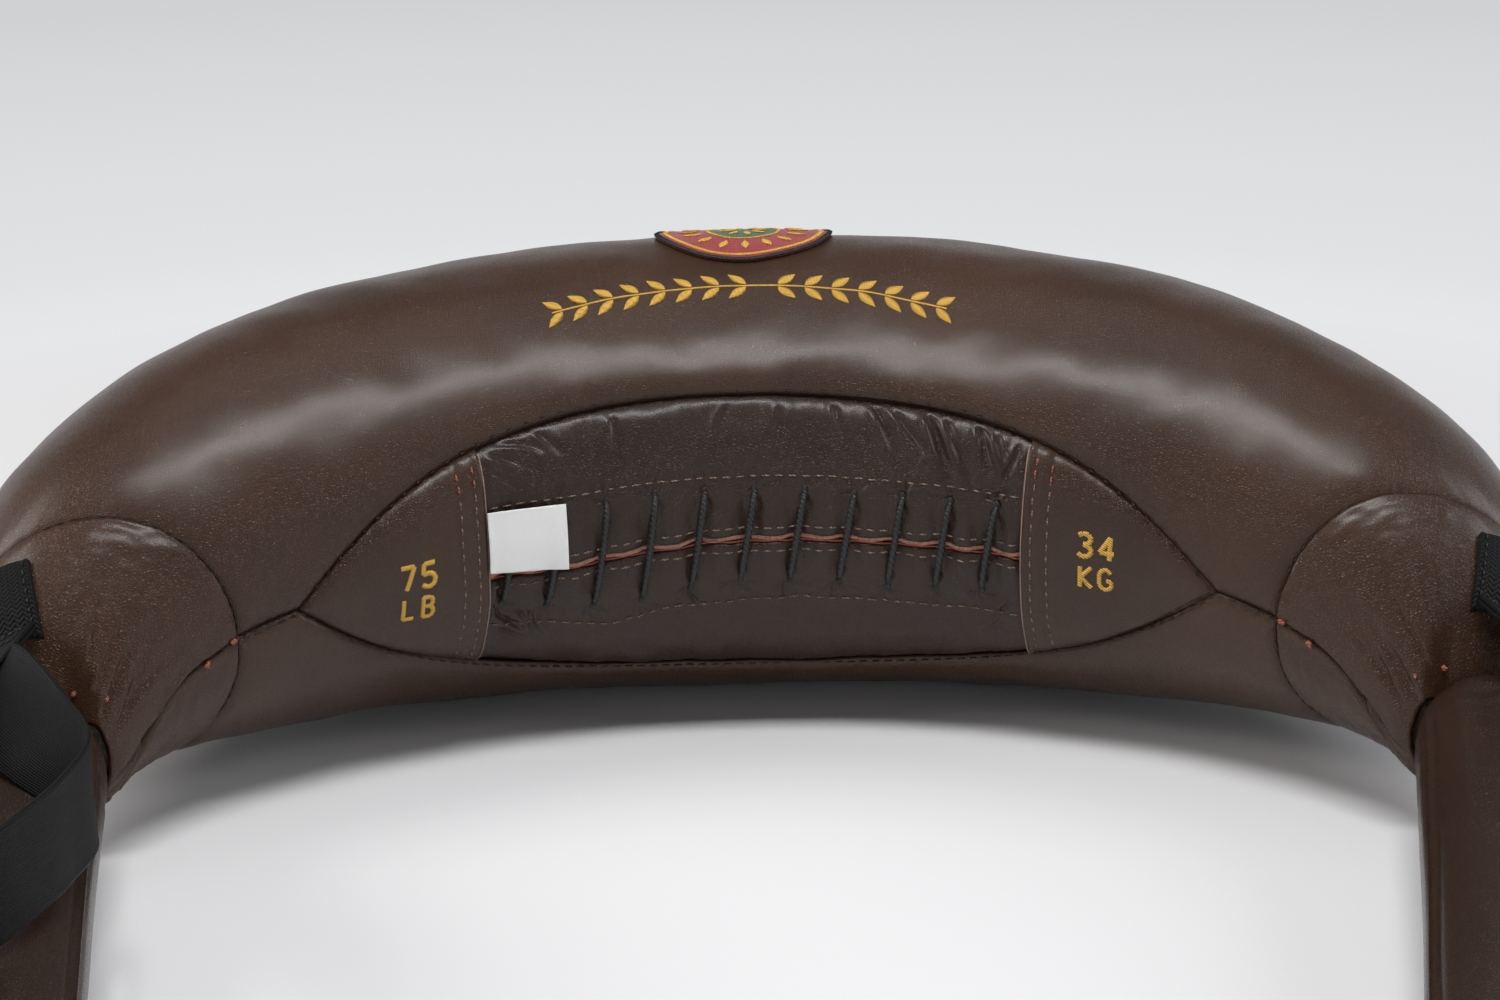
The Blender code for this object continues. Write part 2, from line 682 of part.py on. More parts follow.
def badge():
    """Round embroidered badge, sewn flat on the top of the crescent."""
    disc = bmesh.new()
    bmesh.ops.create_circle(disc, cap_ends=True, segments=BADGE_SIDES, radius=BADGE_RADIUS)
    for number in range(BADGE_RINGS):
        crown = max(disc.faces, key=lambda face: len(face.verts))
        bmesh.ops.inset_region(disc, faces=[crown], thickness=BADGE_RING,
                               use_boundary=True)
    bmesh.ops.poke(disc, faces=[max(disc.faces, key=lambda face: len(face.verts))])
    pulled = bmesh.ops.extrude_face_region(disc, geom=disc.faces[:])["geom"]
    lifted = [item for item in pulled if isinstance(item, bmesh.types.BMVert)]
    bmesh.ops.translate(disc, verts=lifted, vec=UP * -BADGE_THICKNESS)
    for point in disc.verts:
        turn = point.co.x / SPAN_HALF
        lean = BADGE_LEAN + point.co.y / BODY_RADIUS
        point.co = skin(turn, lean, point.co.z - LAP_GAP)
    finish("badge", disc, material("badge_thread", (0.300, 0.030, 0.025), 0.60))


def band_lean(turn):
    """Middle line of the webbing sewn on a tip, from the tip seam to the mouth."""
    share = (abs(turn) - TIP_SEAM_TURN) / (BAND_END_TURN - TIP_SEAM_TURN)
    return mix(BAND_START_LEAN, BAND_END_LEAN, share)


def strap_band(side, word):
    """Webbing sewn down along the top of the tip."""
    start = TIP_SEAM_TURN + TIP_SEAM_SKEW + BAND_SEAM_GAP / CURVE_DEPTH

    def leans(turn):
        half = as_lean(STRAP_WIDTH, turn) / 2
        return band_lean(turn) - half, band_lean(turn) + half

    turns = (side * start, side * BAND_END_TURN)
    draped_panel(word + "_strap_band", turns, leans, BAND_CELLS,
                 level(-FIT_GAP - STRAP_THICKNESS), level(-FIT_GAP), webbing())


def strap_frame(side):
    """Middle of the sewn band's end, and the ways forward and outward from it."""
    turn = side * BAND_END_TURN
    forward = along(turn) * side
    return skin(turn, BAND_END_LEAN, -FIT_GAP - STRAP_THICKNESS), forward, \
        forward.cross(UP) * -side


def ribbon(name, stations, cells, low, high, cut_back=0.0):
    """Webbing through some stations, each a place and the direction of its width.

    Cut back is how much shorter its first end is at the outer corner.
    """
    spots = [station[0] for station in stations]
    widths = [station[1] for station in stations]

    def surface(lift):
        def place(share, up):
            spot = through(spots, share)
            run = through(spots, share + SLOPE_STEP_SHARE) - through(spots, share - SLOPE_STEP_SHARE)
            run.normalize()
            width = through(widths, share)
            width = (width - run * width.dot(run)).normalized()
            face = run.cross(width).normalized()
            spot += run * cut_back * (1 - share) * (1 - up)
            return spot + width * STRAP_WIDTH * (up - 0.5) + face * lift
        return place

    return solid_sheet(name, cells, surface(high), surface(low), webbing())


def through(points, share):
    """Smooth curve through some points, by share of their number (Catmull-Rom)."""
    step = share * (len(points) - 1)
    first = min(max(int(math.floor(step)), 0), len(points) - 2)
    part = step - first
    one, two = points[first], points[first + 1]
    before = points[first - 1] if first > 0 else one * 2 - two
    after = points[first + 2] if first + 2 < len(points) else two * 2 - one
    return 0.5 * (one * 2 + (two - before) * part
                  + (before * 2 - one * 5 + two * 4 - after) * part ** 2
                  + (one * 3 - before - two * 3 + after) * part ** 3)


def strap_loop(side, word, shares):
    """The free loop and the doubled tab where its two ends are sewn together."""
    middle, forward, out = strap_frame(side)
    flat = (-out * math.cos(TAB_ROLL) + UP * math.sin(TAB_ROLL))
    layer = STRAP_THICKNESS + FIT_GAP
    start = middle + forward * STRAP_HINGE_GAP
    end = start + forward * TAB_LENGTH
    ribbon(word + "_strap_tab", [(start, flat), (end, flat)], TAB_CELLS,
           -STRAP_THICKNESS - FIT_GAP / 2, STRAP_THICKNESS + FIT_GAP / 2, TAB_CUT_BACK)
    root = end + forward * STRAP_HINGE_GAP
    face = forward.cross(flat)
    if face.z < 0:
        face.negate()
    stations = []
    for number, (ahead, outside, above, roll) in enumerate(shares):
        spot = root + (forward * ahead + out * outside + UP * above) * LOOP_REACH
        spot += face * layer * (number / (len(shares) - 1) - 0.5)
        angle = roll * math.pi / 2
        stations.append((spot, -out * math.cos(angle) + UP * math.sin(angle)))
    cells = (LOOP_CELLS_EACH * (len(shares) - 1), 2)
    ribbon(word + "_strap_loop", stations, cells, -STRAP_THICKNESS / 2, STRAP_THICKNESS / 2)


def build():
    for thing in list(bpy.data.objects):
        bpy.data.objects.remove(thing, do_unlink=True)
    cover_panels()
    laced_flaps()
    lace()
    filling()
    for side, word, shares in ((-1, "left", LEFT_LOOP_SHARES), (1, "right", RIGHT_LOOP_SHARES)):
        tip_panels(side, word)
        closure_wing(side, word)
        arm(side, word)
        strap_band(side, word)
        strap_loop(side, word, shares)
    label()
    badge()


build()
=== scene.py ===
"""Looks of the crescent training bag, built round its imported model.

The file follows the bag as it is sewn and filled: leather body, laced closure, badge and
embroidery, tips, arms, webbing, and at the end what is stuffed inside. Metres, +Z up.
"""
import json
import math

import bmesh
import bpy
from mathutils import Matrix, Vector, noise


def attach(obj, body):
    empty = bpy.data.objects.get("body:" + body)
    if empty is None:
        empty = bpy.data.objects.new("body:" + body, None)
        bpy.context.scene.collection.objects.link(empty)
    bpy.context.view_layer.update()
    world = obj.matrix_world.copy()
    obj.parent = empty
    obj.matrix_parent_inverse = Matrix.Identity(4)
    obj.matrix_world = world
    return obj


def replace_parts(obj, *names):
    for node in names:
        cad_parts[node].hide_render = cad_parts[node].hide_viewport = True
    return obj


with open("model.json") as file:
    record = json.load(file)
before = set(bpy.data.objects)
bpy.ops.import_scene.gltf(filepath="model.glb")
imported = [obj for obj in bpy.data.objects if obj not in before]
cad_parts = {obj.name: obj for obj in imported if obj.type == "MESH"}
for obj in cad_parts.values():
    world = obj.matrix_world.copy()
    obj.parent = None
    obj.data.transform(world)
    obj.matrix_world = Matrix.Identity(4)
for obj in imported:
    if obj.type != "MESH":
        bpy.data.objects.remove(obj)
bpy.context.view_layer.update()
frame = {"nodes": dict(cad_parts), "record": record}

# The photograph was taken from in front of the bag and above it, with a long lens, and it
# looks a little to the bag's right. The numbers were fitted to the bag's own outline.
LENS_MM = 62.4
SENSOR_MM = 36
CAMERA_UP = math.radians(19.003)
CAMERA_AZIMUTH = math.radians(-2.251)
CAMERA_ROLL = math.radians(-0.257)
CAMERA_DISTANCE = 1.3638
BELLY = Vector(frame["record"]["mounts"][0]["pos_m"])
CAMERA_AIM = Vector((0.0023, BELLY.y, 0.0894))

camera = bpy.data.objects.new("camera", bpy.data.cameras.new("camera"))
camera.data.lens = LENS_MM
camera.data.sensor_width = SENSOR_MM
camera.data.clip_end = 50
back = Vector((math.sin(CAMERA_AZIMUTH) * math.cos(CAMERA_UP),
               -math.cos(CAMERA_AZIMUTH) * math.cos(CAMERA_UP), math.sin(CAMERA_UP)))
right = (-back).cross(Vector((0, 0, 1))).normalized()
above = right.cross(-back)
turned_right = right * math.cos(CAMERA_ROLL) + above * math.sin(CAMERA_ROLL)
turned_up = above * math.cos(CAMERA_ROLL) - right * math.sin(CAMERA_ROLL)
camera.matrix_world = Matrix.Translation(CAMERA_AIM + back * CAMERA_DISTANCE) @ Matrix(
    (turned_right, turned_up, back)).transposed().to_4x4()
bpy.context.collection.objects.link(camera)
bpy.context.scene.camera = camera
bpy.context.scene.view_settings.view_transform = "Standard"


def tint(code):
    """An sRGB hex colour as linear values with alpha."""
    parts = [int(code[at:at + 2], 16) / 255 for at in (1, 3, 5)]
    return tuple(part / 12.92 if part <= 0.04045 else ((part + 0.055) / 1.055) ** 2.4
                 for part in parts) + (1,)


def add(tree, kind, stops=(), **values):
    """Add a node. Lower-case names are its settings, in0, in1 and so on its inputs by number,
    and capitalised names its inputs by name. A socket as value makes a link. A colour ramp's
    stops are pairs of a place and a hex colour."""
    made = tree.nodes.new("ShaderNode" + kind)
    for name, value in values.items():
        if name[:2] == "in" and name[2:].isdigit():
            place = made.inputs[int(name[2:])]
        elif name[0].isupper():
            place = made.inputs[name.replace("_", " ")]
        else:
            setattr(made, name, value)
            continue
        if isinstance(value, bpy.types.NodeSocket):
            tree.links.new(value, place)
        else:
            place.default_value = value
    if stops:
        while len(made.color_ramp.elements) < len(stops):
            made.color_ramp.elements.new(0.5)
        for element, (place, code) in zip(made.color_ramp.elements, stops):
            element.position = place
            element.color = tint(code)
    return made


def new_finish(name):
    """An empty material, its node tree and its shader."""
    made = bpy.data.materials.new(name)
    made.use_nodes = True
    return made, made.node_tree, made.node_tree.nodes["Principled BSDF"]


def surfaced(made, tone, stops, strength, distance, **looks):
    """Finish a material: a ramp over the tone colours it, the tone's height dents it, and
    looks are the shader's uniform numbers. Without stops the colour is already linked."""
    tree = made.node_tree
    shader = tree.nodes["Principled BSDF"]
    if stops:
        colour = add(tree, "ValToRGB", Fac=tone, stops=stops).outputs["Color"]
        tree.links.new(colour, shader.inputs["Base Color"])
    for name, value in looks.items():
        shader.inputs[name.replace("_", " ")].default_value = value
    dents = add(tree, "Bump", Strength=strength, Distance=distance, Height=tone)
    tree.links.new(dents.outputs["Normal"], shader.inputs["Normal"])
    return made


# The studio: a pale paper sweep under the bag whose glow far behind it is painted light,
# fading to a soft grey as painted shade; one broad lamp above the camera, a weak one overhead
# and two small ones at the sides.
SWEEP_SIZE = 60
SWEEP_TINTS = ((0.05, "#f1f1f2"), (0.30, "#e1e2e4"), (1.0, "#d0d1d3"))
SWEEP_FADE_START = 0.55
SWEEP_GLOW_FULL = 1.0
SWEEP_FADE_END = 2.7
WORLD_TINTS = ((0.18, "#d2d3d5"), (0.50, "#55565a"))


def sweep_paper():
    """Matt paper that glows a little far behind the bag, for camera and reflection rays: painted
    light whose tint fades to grey farther away as painted shade.
    """
    made, tree, shader = new_finish("matt_paper")
    spot = add(tree, "TexCoord").outputs["Object"]
    away = add(tree, "VectorMath", operation="LENGTH", in0=spot).outputs["Value"]
    share = add(tree, "MapRange", Value=away, From_Min=SWEEP_FADE_START,
                From_Max=SWEEP_FADE_END).outputs["Result"]
    near = add(tree, "MapRange", Value=away, From_Min=SWEEP_FADE_START,
               From_Max=SWEEP_GLOW_FULL).outputs["Result"]
    shader.inputs["Roughness"].default_value = 0.9
    shader.inputs["Specular IOR Level"].default_value = 0.1
    shader.inputs["Base Color"].default_value = tint(SWEEP_TINTS[0][1])
    shade = add(tree, "ValToRGB", Fac=share, stops=SWEEP_TINTS).outputs["Color"]
    glow = add(tree, "Emission", Color=shade)
    rays = add(tree, "LightPath").outputs
    seen = add(tree, "Math", operation="ADD", use_clamp=True, in0=rays["Is Camera Ray"],
               in1=rays["Is Glossy Ray"]).outputs[0]
    seen = add(tree, "Math", operation="ADD", use_clamp=True, in0=seen,
               in1=rays["Is Transmission Ray"]).outputs[0]
    part = add(tree, "Math", operation="MULTIPLY", in0=near, in1=seen).outputs[0]
    paper = add(tree, "MixShader", Fac=part, in1=shader.outputs[0], in2=glow.outputs[0])
    tree.links.new(paper.outputs[0], tree.nodes["Material Output"].inputs["Surface"])
    return made


sweep = bmesh.new()
bmesh.ops.create_grid(sweep, x_segments=1, y_segments=1, size=SWEEP_SIZE)
sweep_mesh = bpy.data.meshes.new("floor")
sweep.to_mesh(sweep_mesh)
sweep.free()
floor = bpy.data.objects.new("floor", sweep_mesh)
floor.data.materials.append(sweep_paper())
bpy.context.collection.objects.link(floor)

world = bpy.data.worlds.new("studio")
world.use_nodes = True
bpy.context.scene.world = world
world_tree = world.node_tree
aloft = add(world_tree, "SeparateXYZ", in0=add(world_tree, "TexCoord").outputs["Generated"])
sky = add(world_tree, "ValToRGB", Fac=aloft.outputs["Z"], stops=WORLD_TINTS)
world_tree.links.new(sky.outputs["Color"], world_tree.nodes["Background"].inputs["Color"])


def lamp(name, place, aim, size, watts, code):
    light = bpy.data.lights.new(name, "AREA")
    light.shape = "RECTANGLE"
    light.size, light.size_y = size
    light.energy = watts
    light.color = tint(code)[:3]
    thing = bpy.data.objects.new(name, light)
    thing.matrix_world = Matrix.Translation(place) @ (
        Vector(aim) - Vector(place)).to_track_quat("-Z", "Y").to_matrix().to_4x4()
    bpy.context.collection.objects.link(thing)


lamp("front_above", (0.0, -0.36, 1.65), (0, 0.10, 0.1), (0.95, 0.30), 17.5, "#ffffff")
lamp("overhead", (0.0, 0.60, 1.7), (0, 0.12, 0), (1.8, 0.8), 3, "#ffffff")
lamp("left_side", (-1.4, -0.05, 0.85), (-0.1, 0.0, 0.05), (0.6, 0.6), 8, "#fffaf5")
lamp("right_side", (1.4, -0.05, 0.80), (0.1, 0.0, 0.05), (0.6, 0.6), 6, "#f8faff")


# The stuffed form that every leather piece is drawn on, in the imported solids' own sizes. A
# place has a turn round the crescent and a lean round its section: 0 on the inner curve, a
# right angle on top. Depth goes inwards from the outside of the leather.
BODY_RADIUS = 0.115
SPAN_HALF = 0.3214
CURVE_DEPTH = 0.2308
BELLY_SAG = 0.003
TIP_DROP = 0.0431
DROP_POWER = 4
MOUTH_DROP = 0.018
MOUTH_DROP_POWER = 20
TAPER_TURN = math.radians(90.57)
MOUTH_RADIUS = 0.027
MOUTH_TURN = TAPER_TURN * math.sqrt(1 - (MOUTH_RADIUS / BODY_RADIUS) ** 2)
UP = Vector((0, 0, 1))
LEATHER = 0.002
SEAM_GAP = 0.0003
LAP_GAP = 0.0006
SIDES = ((-1, "left"), (1, "right"))


def mix(low, high, share):
    return low + (high - low) * share


def steps(low, high, count):
    """Evenly spaced numbers from low to high, with both ends."""
    return [mix(low, high, number / count) for number in range(count + 1)]


def fade(value):
    """0 below 0, 1 above 1, straight between."""
    return min(1, max(0, value))


def smooth(value):
    """0 below 0, 1 above 1, eased between."""
    value = fade(value)
    return value * value * (3 - 2 * value)


def section_radius(turn):
    return BODY_RADIUS * math.sqrt(1 - (turn / TAPER_TURN) ** 2)


def turn_of_radius(radius):
    return TAPER_TURN * math.sqrt(1 - (radius / BODY_RADIUS) ** 2)


def centre(turn):
    share = abs(turn) / MOUTH_TURN
    drop = TIP_DROP * share ** DROP_POWER + MOUTH_DROP * share ** MOUTH_DROP_POWER
    return Vector((SPAN_HALF * math.sin(turn), BELLY.y - CURVE_DEPTH * (1 - math.cos(turn)),
                   BODY_RADIUS - BELLY_SAG - drop))


def along(turn):
    return Vector((SPAN_HALF * math.cos(turn), -CURVE_DEPTH * math.sin(turn), 0)).normalized()


def outward(turn, lean):
    way = along(turn)
    return Vector((way.y, -way.x, 0)) * math.cos(lean) + UP * math.sin(lean)


def skin(turn, lean, depth=0.0):
    place = centre(turn) + outward(turn, lean) * (section_radius(turn) - depth)
    place.z = max(place.z, depth)
    return place


def laid(turn, lean, depth=0.0):
    """A place on the form and the way out of it there."""
    return skin(turn, lean, depth), outward(turn, lean)


def as_lean(width, turn=0.0):
    return width / section_radius(turn)


def as_turn(length):
    """A length along the inner curve as an angle round it."""
    return length / (SPAN_HALF - BODY_RADIUS)


# Sewing helpers: a sheet of leather with its thickness, and rows of thread stitches.
STITCH_PITCH = 0.0062
STITCH_LENGTH = 0.0046
STITCH_THICK = 0.00095


def show(name, mesh_data, finish, body, slot, recalculate=False):
    """Turn a bmesh into a named piece with its material and body; slot is not used."""
    if recalculate:
        bmesh.ops.recalc_face_normals(mesh_data, faces=mesh_data.faces)
    mesh = bpy.data.meshes.new(name)
    mesh_data.to_mesh(mesh)
    mesh_data.free()
    mesh.shade_smooth()
    thing = bpy.data.objects.new(name, mesh)
    thing.data.materials.append(finish)
    bpy.context.collection.objects.link(thing)
    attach(thing, body)
    return thing


def leather_sheet(cells, surface, outer, inner, wrap=False, size=(1, 1), pull=None):
    """A closed sheet between an outer and an inner depth of surface(across, up, depth), with
    across and up from 0 to 1. Its UV map has the sheet's flat size; pull(across, up) gives
    the length along the nearest pull line, the distance from it and how strongly the leather
    puckers there."""
    sheet = bmesh.new()
    share = sheet.verts.layers.float_vector.new("share")
    uv = sheet.loops.layers.uv.new("UVMap")
    bmesh.ops.create_grid(sheet, x_segments=cells[0], y_segments=cells[1], size=0.5)
    for point in sheet.verts:
        point[share] = (point.co.x + 0.5, point.co.y + 0.5, 0)
        point.co = surface(point[share].x, point[share].y, outer)
    if wrap:
        bmesh.ops.remove_doubles(sheet, verts=sheet.verts, dist=SEAM_GAP / 2)
    pulled = bmesh.ops.extrude_face_region(sheet, geom=sheet.faces[:])["geom"]
    for item in pulled:
        if isinstance(item, bmesh.types.BMVert):
            item.co = surface(item[share].x, item[share].y, inner)
    if pull is not None:
        puckers = sheet.verts.layers.float_vector.new("puckers")
        for point in sheet.verts:
            point[puckers] = pull(point[share].x, point[share].y)
    for face in sheet.faces:
        for loop in face.loops:
            loop[uv].uv = (loop.vert[share].x * size[0], loop.vert[share].y * size[1])
    bmesh.ops.recalc_face_normals(sheet, faces=sheet.faces)
    return sheet


def bead(mesh_data, spot, axes, rounds=1):
    """A small ball stretched along three half axes."""
    bmesh.ops.create_icosphere(
        mesh_data, subdivisions=rounds, radius=1,
        matrix=Matrix.Translation(spot) @ Matrix(axes).transposed().to_4x4())


def stitches(name, route, finish, body, slot, length=STITCH_LENGTH, pitch=STITCH_PITCH,
             thick=STITCH_THICK, sunk=0.3):
    """A row of thread stitches along a route of (place, outward) pairs."""
    row = bmesh.new()
    total = sum((b[0] - a[0]).length for a, b in zip(route, route[1:]))
    count = max(2, round(total / pitch))
    step = total / count
    marks = [step * (number + 0.5) for number in range(count)]
    walked = 0.0
    for (start, out_a), (stop, out_b) in zip(route, route[1:]):
        leg = (stop - start).length
        while marks and marks[0] <= walked + leg + 1e-9:
            share = (marks.pop(0) - walked) / max(leg, 1e-9)
            out = out_a.lerp(out_b, share).normalized()
            way = (stop - start).normalized()
            side = out.cross(way).normalized()
            jog = noise.noise(start * 900) * thick * 0.35
            spot = start.lerp(stop, share) + out * thick * (0.5 - sunk) + side * jog
            bead(row, spot, (way * length / 2, side * thick / 2, side.cross(way) * -thick / 2))
        walked += leg
    return show(name, row, finish, body, slot, recalculate=True)


# Chrome-tanned cowhide, dyed dark brown and waxed: a fine pebbled grain about 1.3 mm across
# that glints where light grazes it, a soft sheen, and short puckers wherever a seam pulls.
GRAIN_SIZE = 0.0013
COARSE_GRAIN_SIZE = 0.0015
PUCKER_ACROSS = 0.0021
PUCKER_ALONG = 0.011


def cowhide(name, grain=GRAIN_SIZE, strength=0.7, dark="#22140b", light="#4a301e"):
    made, tree, shader = new_finish(name)
    spot = add(tree, "TexCoord").outputs["Object"]
    wander = add(tree, "TexNoise", Vector=spot, Scale=0.35 / grain, Detail=2)
    bent = add(tree, "VectorMath", operation="MULTIPLY_ADD", in0=wander.outputs["Color"],
               in1=(grain * 1.1,) * 3, in2=spot).outputs[0]
    pebble = add(tree, "TexVoronoi", feature="DISTANCE_TO_EDGE", Vector=bent, Scale=1 / grain)
    crown = add(tree, "MapRange", Value=pebble.outputs["Distance"], From_Max=0.28)
    fine = add(tree, "TexNoise", Vector=spot, Scale=1.6 / grain, Detail=4, Roughness=0.65)
    patch = add(tree, "TexNoise", Vector=spot, Scale=8, Detail=4, Roughness=0.55)
    worn = add(tree, "MapRange", Value=patch.outputs["Fac"], From_Min=0.33, From_Max=0.70)
    lifted = add(tree, "Math", operation="MULTIPLY_ADD", in0=worn.outputs["Result"], in1=0.34,
                 in2=0.23).outputs[0]
    relief = add(tree, "Math", operation="MULTIPLY_ADD", in0=fine.outputs["Fac"], in1=0.6,
                 in2=crown.outputs["Result"]).outputs[0]
    tone = add(tree, "Math", operation="MULTIPLY_ADD", in0=relief, in1=0.35, in2=lifted).outputs[0]
    colour = add(tree, "ValToRGB", Fac=tone, stops=((0.15, dark), (0.95, light)))
    tree.links.new(colour.outputs["Color"], shader.inputs["Base Color"])
    gloss = add(tree, "MapRange", Value=relief, From_Max=1.3, To_Min=0.48, To_Max=0.26)
    tree.links.new(gloss.outputs["Result"], shader.inputs["Roughness"])
    shader.inputs["IOR"].default_value = 1.5
    shader.inputs["Specular IOR Level"].default_value = 0.2
    shader.inputs["Coat Weight"].default_value = 0.45
    shader.inputs["Coat Roughness"].default_value = 0.31

    pull = add(tree, "Attribute", attribute_name="puckers").outputs["Vector"]
    split = add(tree, "SeparateXYZ", in0=pull).outputs
    lines = add(tree, "VectorMath", operation="MULTIPLY", in0=pull,
                in1=(1 / PUCKER_ACROSS, 1 / PUCKER_ALONG, 0)).outputs[0]
    ruck = add(tree, "TexNoise", Vector=lines, Scale=1, Detail=3, Roughness=0.6,
               Distortion=0.8).outputs["Fac"]
    ruck = add(tree, "Math", operation="MULTIPLY", in0=ruck, in1=split["Z"]).outputs[0]
    rucked = add(tree, "Bump", Strength=0.6, Distance=0.0009, Height=ruck)
    dents = add(tree, "Bump", Strength=strength, Distance=grain * 0.20, Height=relief,
                Normal=rucked.outputs["Normal"])
    tree.links.new(dents.outputs["Normal"], shader.inputs["Normal"])
    return made


BODY_HIDE = cowhide("dyed_cowhide")
COARSE_HIDE = cowhide("pebbled_cowhide", COARSE_GRAIN_SIZE, 0.75)
# A darker copy of the body's hide for the flaps and the arms; on the arms the darker colour is
# painted shade.
SOFT_AND_SHADED_HIDE = cowhide("soft_cowhide_painted_shade", GRAIN_SIZE, 0.8, "#190f09", "#382417")


def spun_thread(name, dark, light, pitch=0.0011):
    """Bonded polyester sewing thread: plies that wind round it, with a waxy sheen."""
    made, tree, _ = new_finish(name)
    spot = add(tree, "TexCoord").outputs["Object"]
    plies = add(tree, "TexWave", bands_direction="DIAGONAL", Vector=spot, Scale=0.32 / pitch,
                Distortion=1.5, Detail=1).outputs["Fac"]
    return surfaced(made, plies, ((0.2, dark), (0.8, light)), 0.5, 0.0002, Roughness=0.55)


BROWN_THREAD = spun_thread("brown_bonded_thread", "#5a4636", "#94795e")
SEAM_THREAD = spun_thread("dark_bonded_thread", "#0e0a08", "#1f1814")
COPPER_THREAD = spun_thread("copper_bonded_thread", "#6b3524", "#a9644a")


# The seams of the body, and how the leather swells between them over the wool: it dives
# into each seam, gathers into small puckers beside it, and has a few broad soft dents.
TIP_SEAM_TURN = math.radians(75)
TIP_SEAM_ARM = CURVE_DEPTH + 0.02
TIP_SEAM_SKEW = math.radians(5.4)
TIP_SEAM_ROLL = math.radians(20)
TIP_SEAM_FALL = math.radians(35)
TIP_SEAM_FALL_POWER = 4
LENS_TURN = math.radians(59.8)
LENS_UP = math.radians(38)
LENS_DOWN = math.radians(43)
LENS_POWER = 2.6
SEAM_LEAN = math.radians(-3.6)
SEAM_SINK = 0.0031
SEAM_SINK_WIDTH = 0.0034
SWELL = 0.0016
SWELL_WIDTH = 0.022
PUCKER = 0.00075
PUCKER_REACH = 0.010
PUCKER_CLEAR = 0.002
PUCKER_LENGTH = 0.0075
DENT = 0.0023
DENT_SIZE = 0.16
RIPPLE = 0.0007
RIPPLE_SIZE = 0.045


def lens_top(turn):
    return SEAM_LEAN + LENS_UP * (1 - min(1, abs(turn) / LENS_TURN) ** LENS_POWER)


def lens_bottom(turn):
    return SEAM_LEAN - LENS_DOWN * (1 - min(1, abs(turn) / LENS_TURN) ** LENS_POWER)


def tip_seam(turn):
    """Lean of the long inner seam between the two tip panels."""
    share = fade((abs(turn) - TIP_SEAM_TURN) / (MOUTH_TURN - TIP_SEAM_TURN))
    return SEAM_LEAN - TIP_SEAM_FALL * share ** TIP_SEAM_FALL_POWER


def slanted(turn, lean):
    """The tip seam leans back on top and forward on the inner curve."""
    size = abs(turn)
    before = (size - LENS_TURN) / (TIP_SEAM_TURN - LENS_TURN)
    behind = (MOUTH_TURN - size) / (MOUTH_TURN - TIP_SEAM_TURN)
    shift = TIP_SEAM_SKEW * math.cos(lean + TIP_SEAM_ROLL) * fade(min(before, behind))
    return turn - math.copysign(1, turn) * shift


def unslanted(turn, lean):
    """The turn that slanted() moves to the given one."""
    guess = turn
    for _ in range(6):
        guess += turn - slanted(guess, lean)
    return guess


def swelling(place, gaps, sink=SEAM_SINK, puckers=PUCKER):
    """How far the leather stands out at a place, from its distances to the seams, each with
    the length along that seam."""
    gap, walk = min(gaps)
    height = SWELL * (1 - math.exp(-gap / SWELL_WIDTH)) - sink * math.exp(-gap / SEAM_SINK_WIDTH)
    near = math.exp(-gap / PUCKER_REACH) * (1 - math.exp(-gap / PUCKER_CLEAR))
    height += puckers * near * noise.noise(Vector((walk / PUCKER_LENGTH, gap * 25, 4.1)))
    height += DENT * noise.noise(place / DENT_SIZE * 2)
    height += RIPPLE * noise.noise(place / RIPPLE_SIZE * 2)
    return max(height, -sink)


PRESSED_SINK = 0.0013
FLOOR_REACH = 0.006


def hide_height(turn, lean, gaps, extra=None, pressed=None, **swell):
    """How far a panel's leather stands out; where it lies on the floor it doesn't, and where
    something presses on it, from 0 to 1, it lies a little below the plain skin."""
    flat = skin(slanted(turn, lean), lean)
    height = swelling(flat, gaps(turn, lean), **swell)
    if extra is not None:
        height += extra(turn, lean)
    if pressed is not None:
        height = mix(height, -PRESSED_SINK, pressed(turn, lean))
    return height * smooth(flat.z / FLOOR_REACH)


def panel(name, turn_at, leans, cells, gaps, finish, ahead=None, **looks):
    """A leather panel between some leans, swollen between its seams; turn_at gives its turn
    from 0 to 1 along it, and ahead how far it is drawn out towards the end of the crescent."""
    def flat_place(across, up):
        turn = turn_at(across)
        low, high = leans(turn)
        return turn, mix(low, high, up)

    def place(across, up, inwards):
        turn, lean = flat_place(across, up)
        height = hide_height(turn, lean, gaps, **looks)
        there = skin(slanted(turn, lean), lean, inwards - height)
        if ahead is not None:
            there += along(turn) * math.copysign(ahead(turn, lean), turn)
        return there

    def pull(across, up):
        return nearest_pull(gaps(*flat_place(across, up)))

    sheet = leather_sheet(cells, place, 0, LEATHER, pull=pull)
    return show(name, sheet, finish, "bag", "leather")


def nearest_pull(gaps):
    """Length along the nearest seam, distance from it, and how much the leather puckers."""
    gap, walk = min(gaps)
    strong = 0.55 + 1.1 * noise.noise(Vector((walk * 22, 1.3, 0)))
    return walk, gap, fade(strong) * math.exp(-gap / PUCKER_REACH)


def edge_gaps(leans):
    """Distances to a panel's two long seams and, at its ends, to the tip seams."""
    def gaps(turn, lean):
        radius = section_radius(turn)
        low, high = leans(turn)
        walk = turn * SPAN_HALF
        return ((max(0, lean - low) * radius, walk), (max(0, high - lean) * radius, walk + 3),
                (max(0, TIP_SEAM_TURN - abs(turn)) * TIP_SEAM_ARM, lean * radius))
    return gaps


def between(low_seam, high_seam):
    """The leans of a panel's long edges, each half a seam's gap away from its seam."""
    def leans(turn):
        gap = as_lean(SEAM_GAP, turn) / 2
        return low_seam(turn) + gap, high_seam(turn) - gap
    return leans


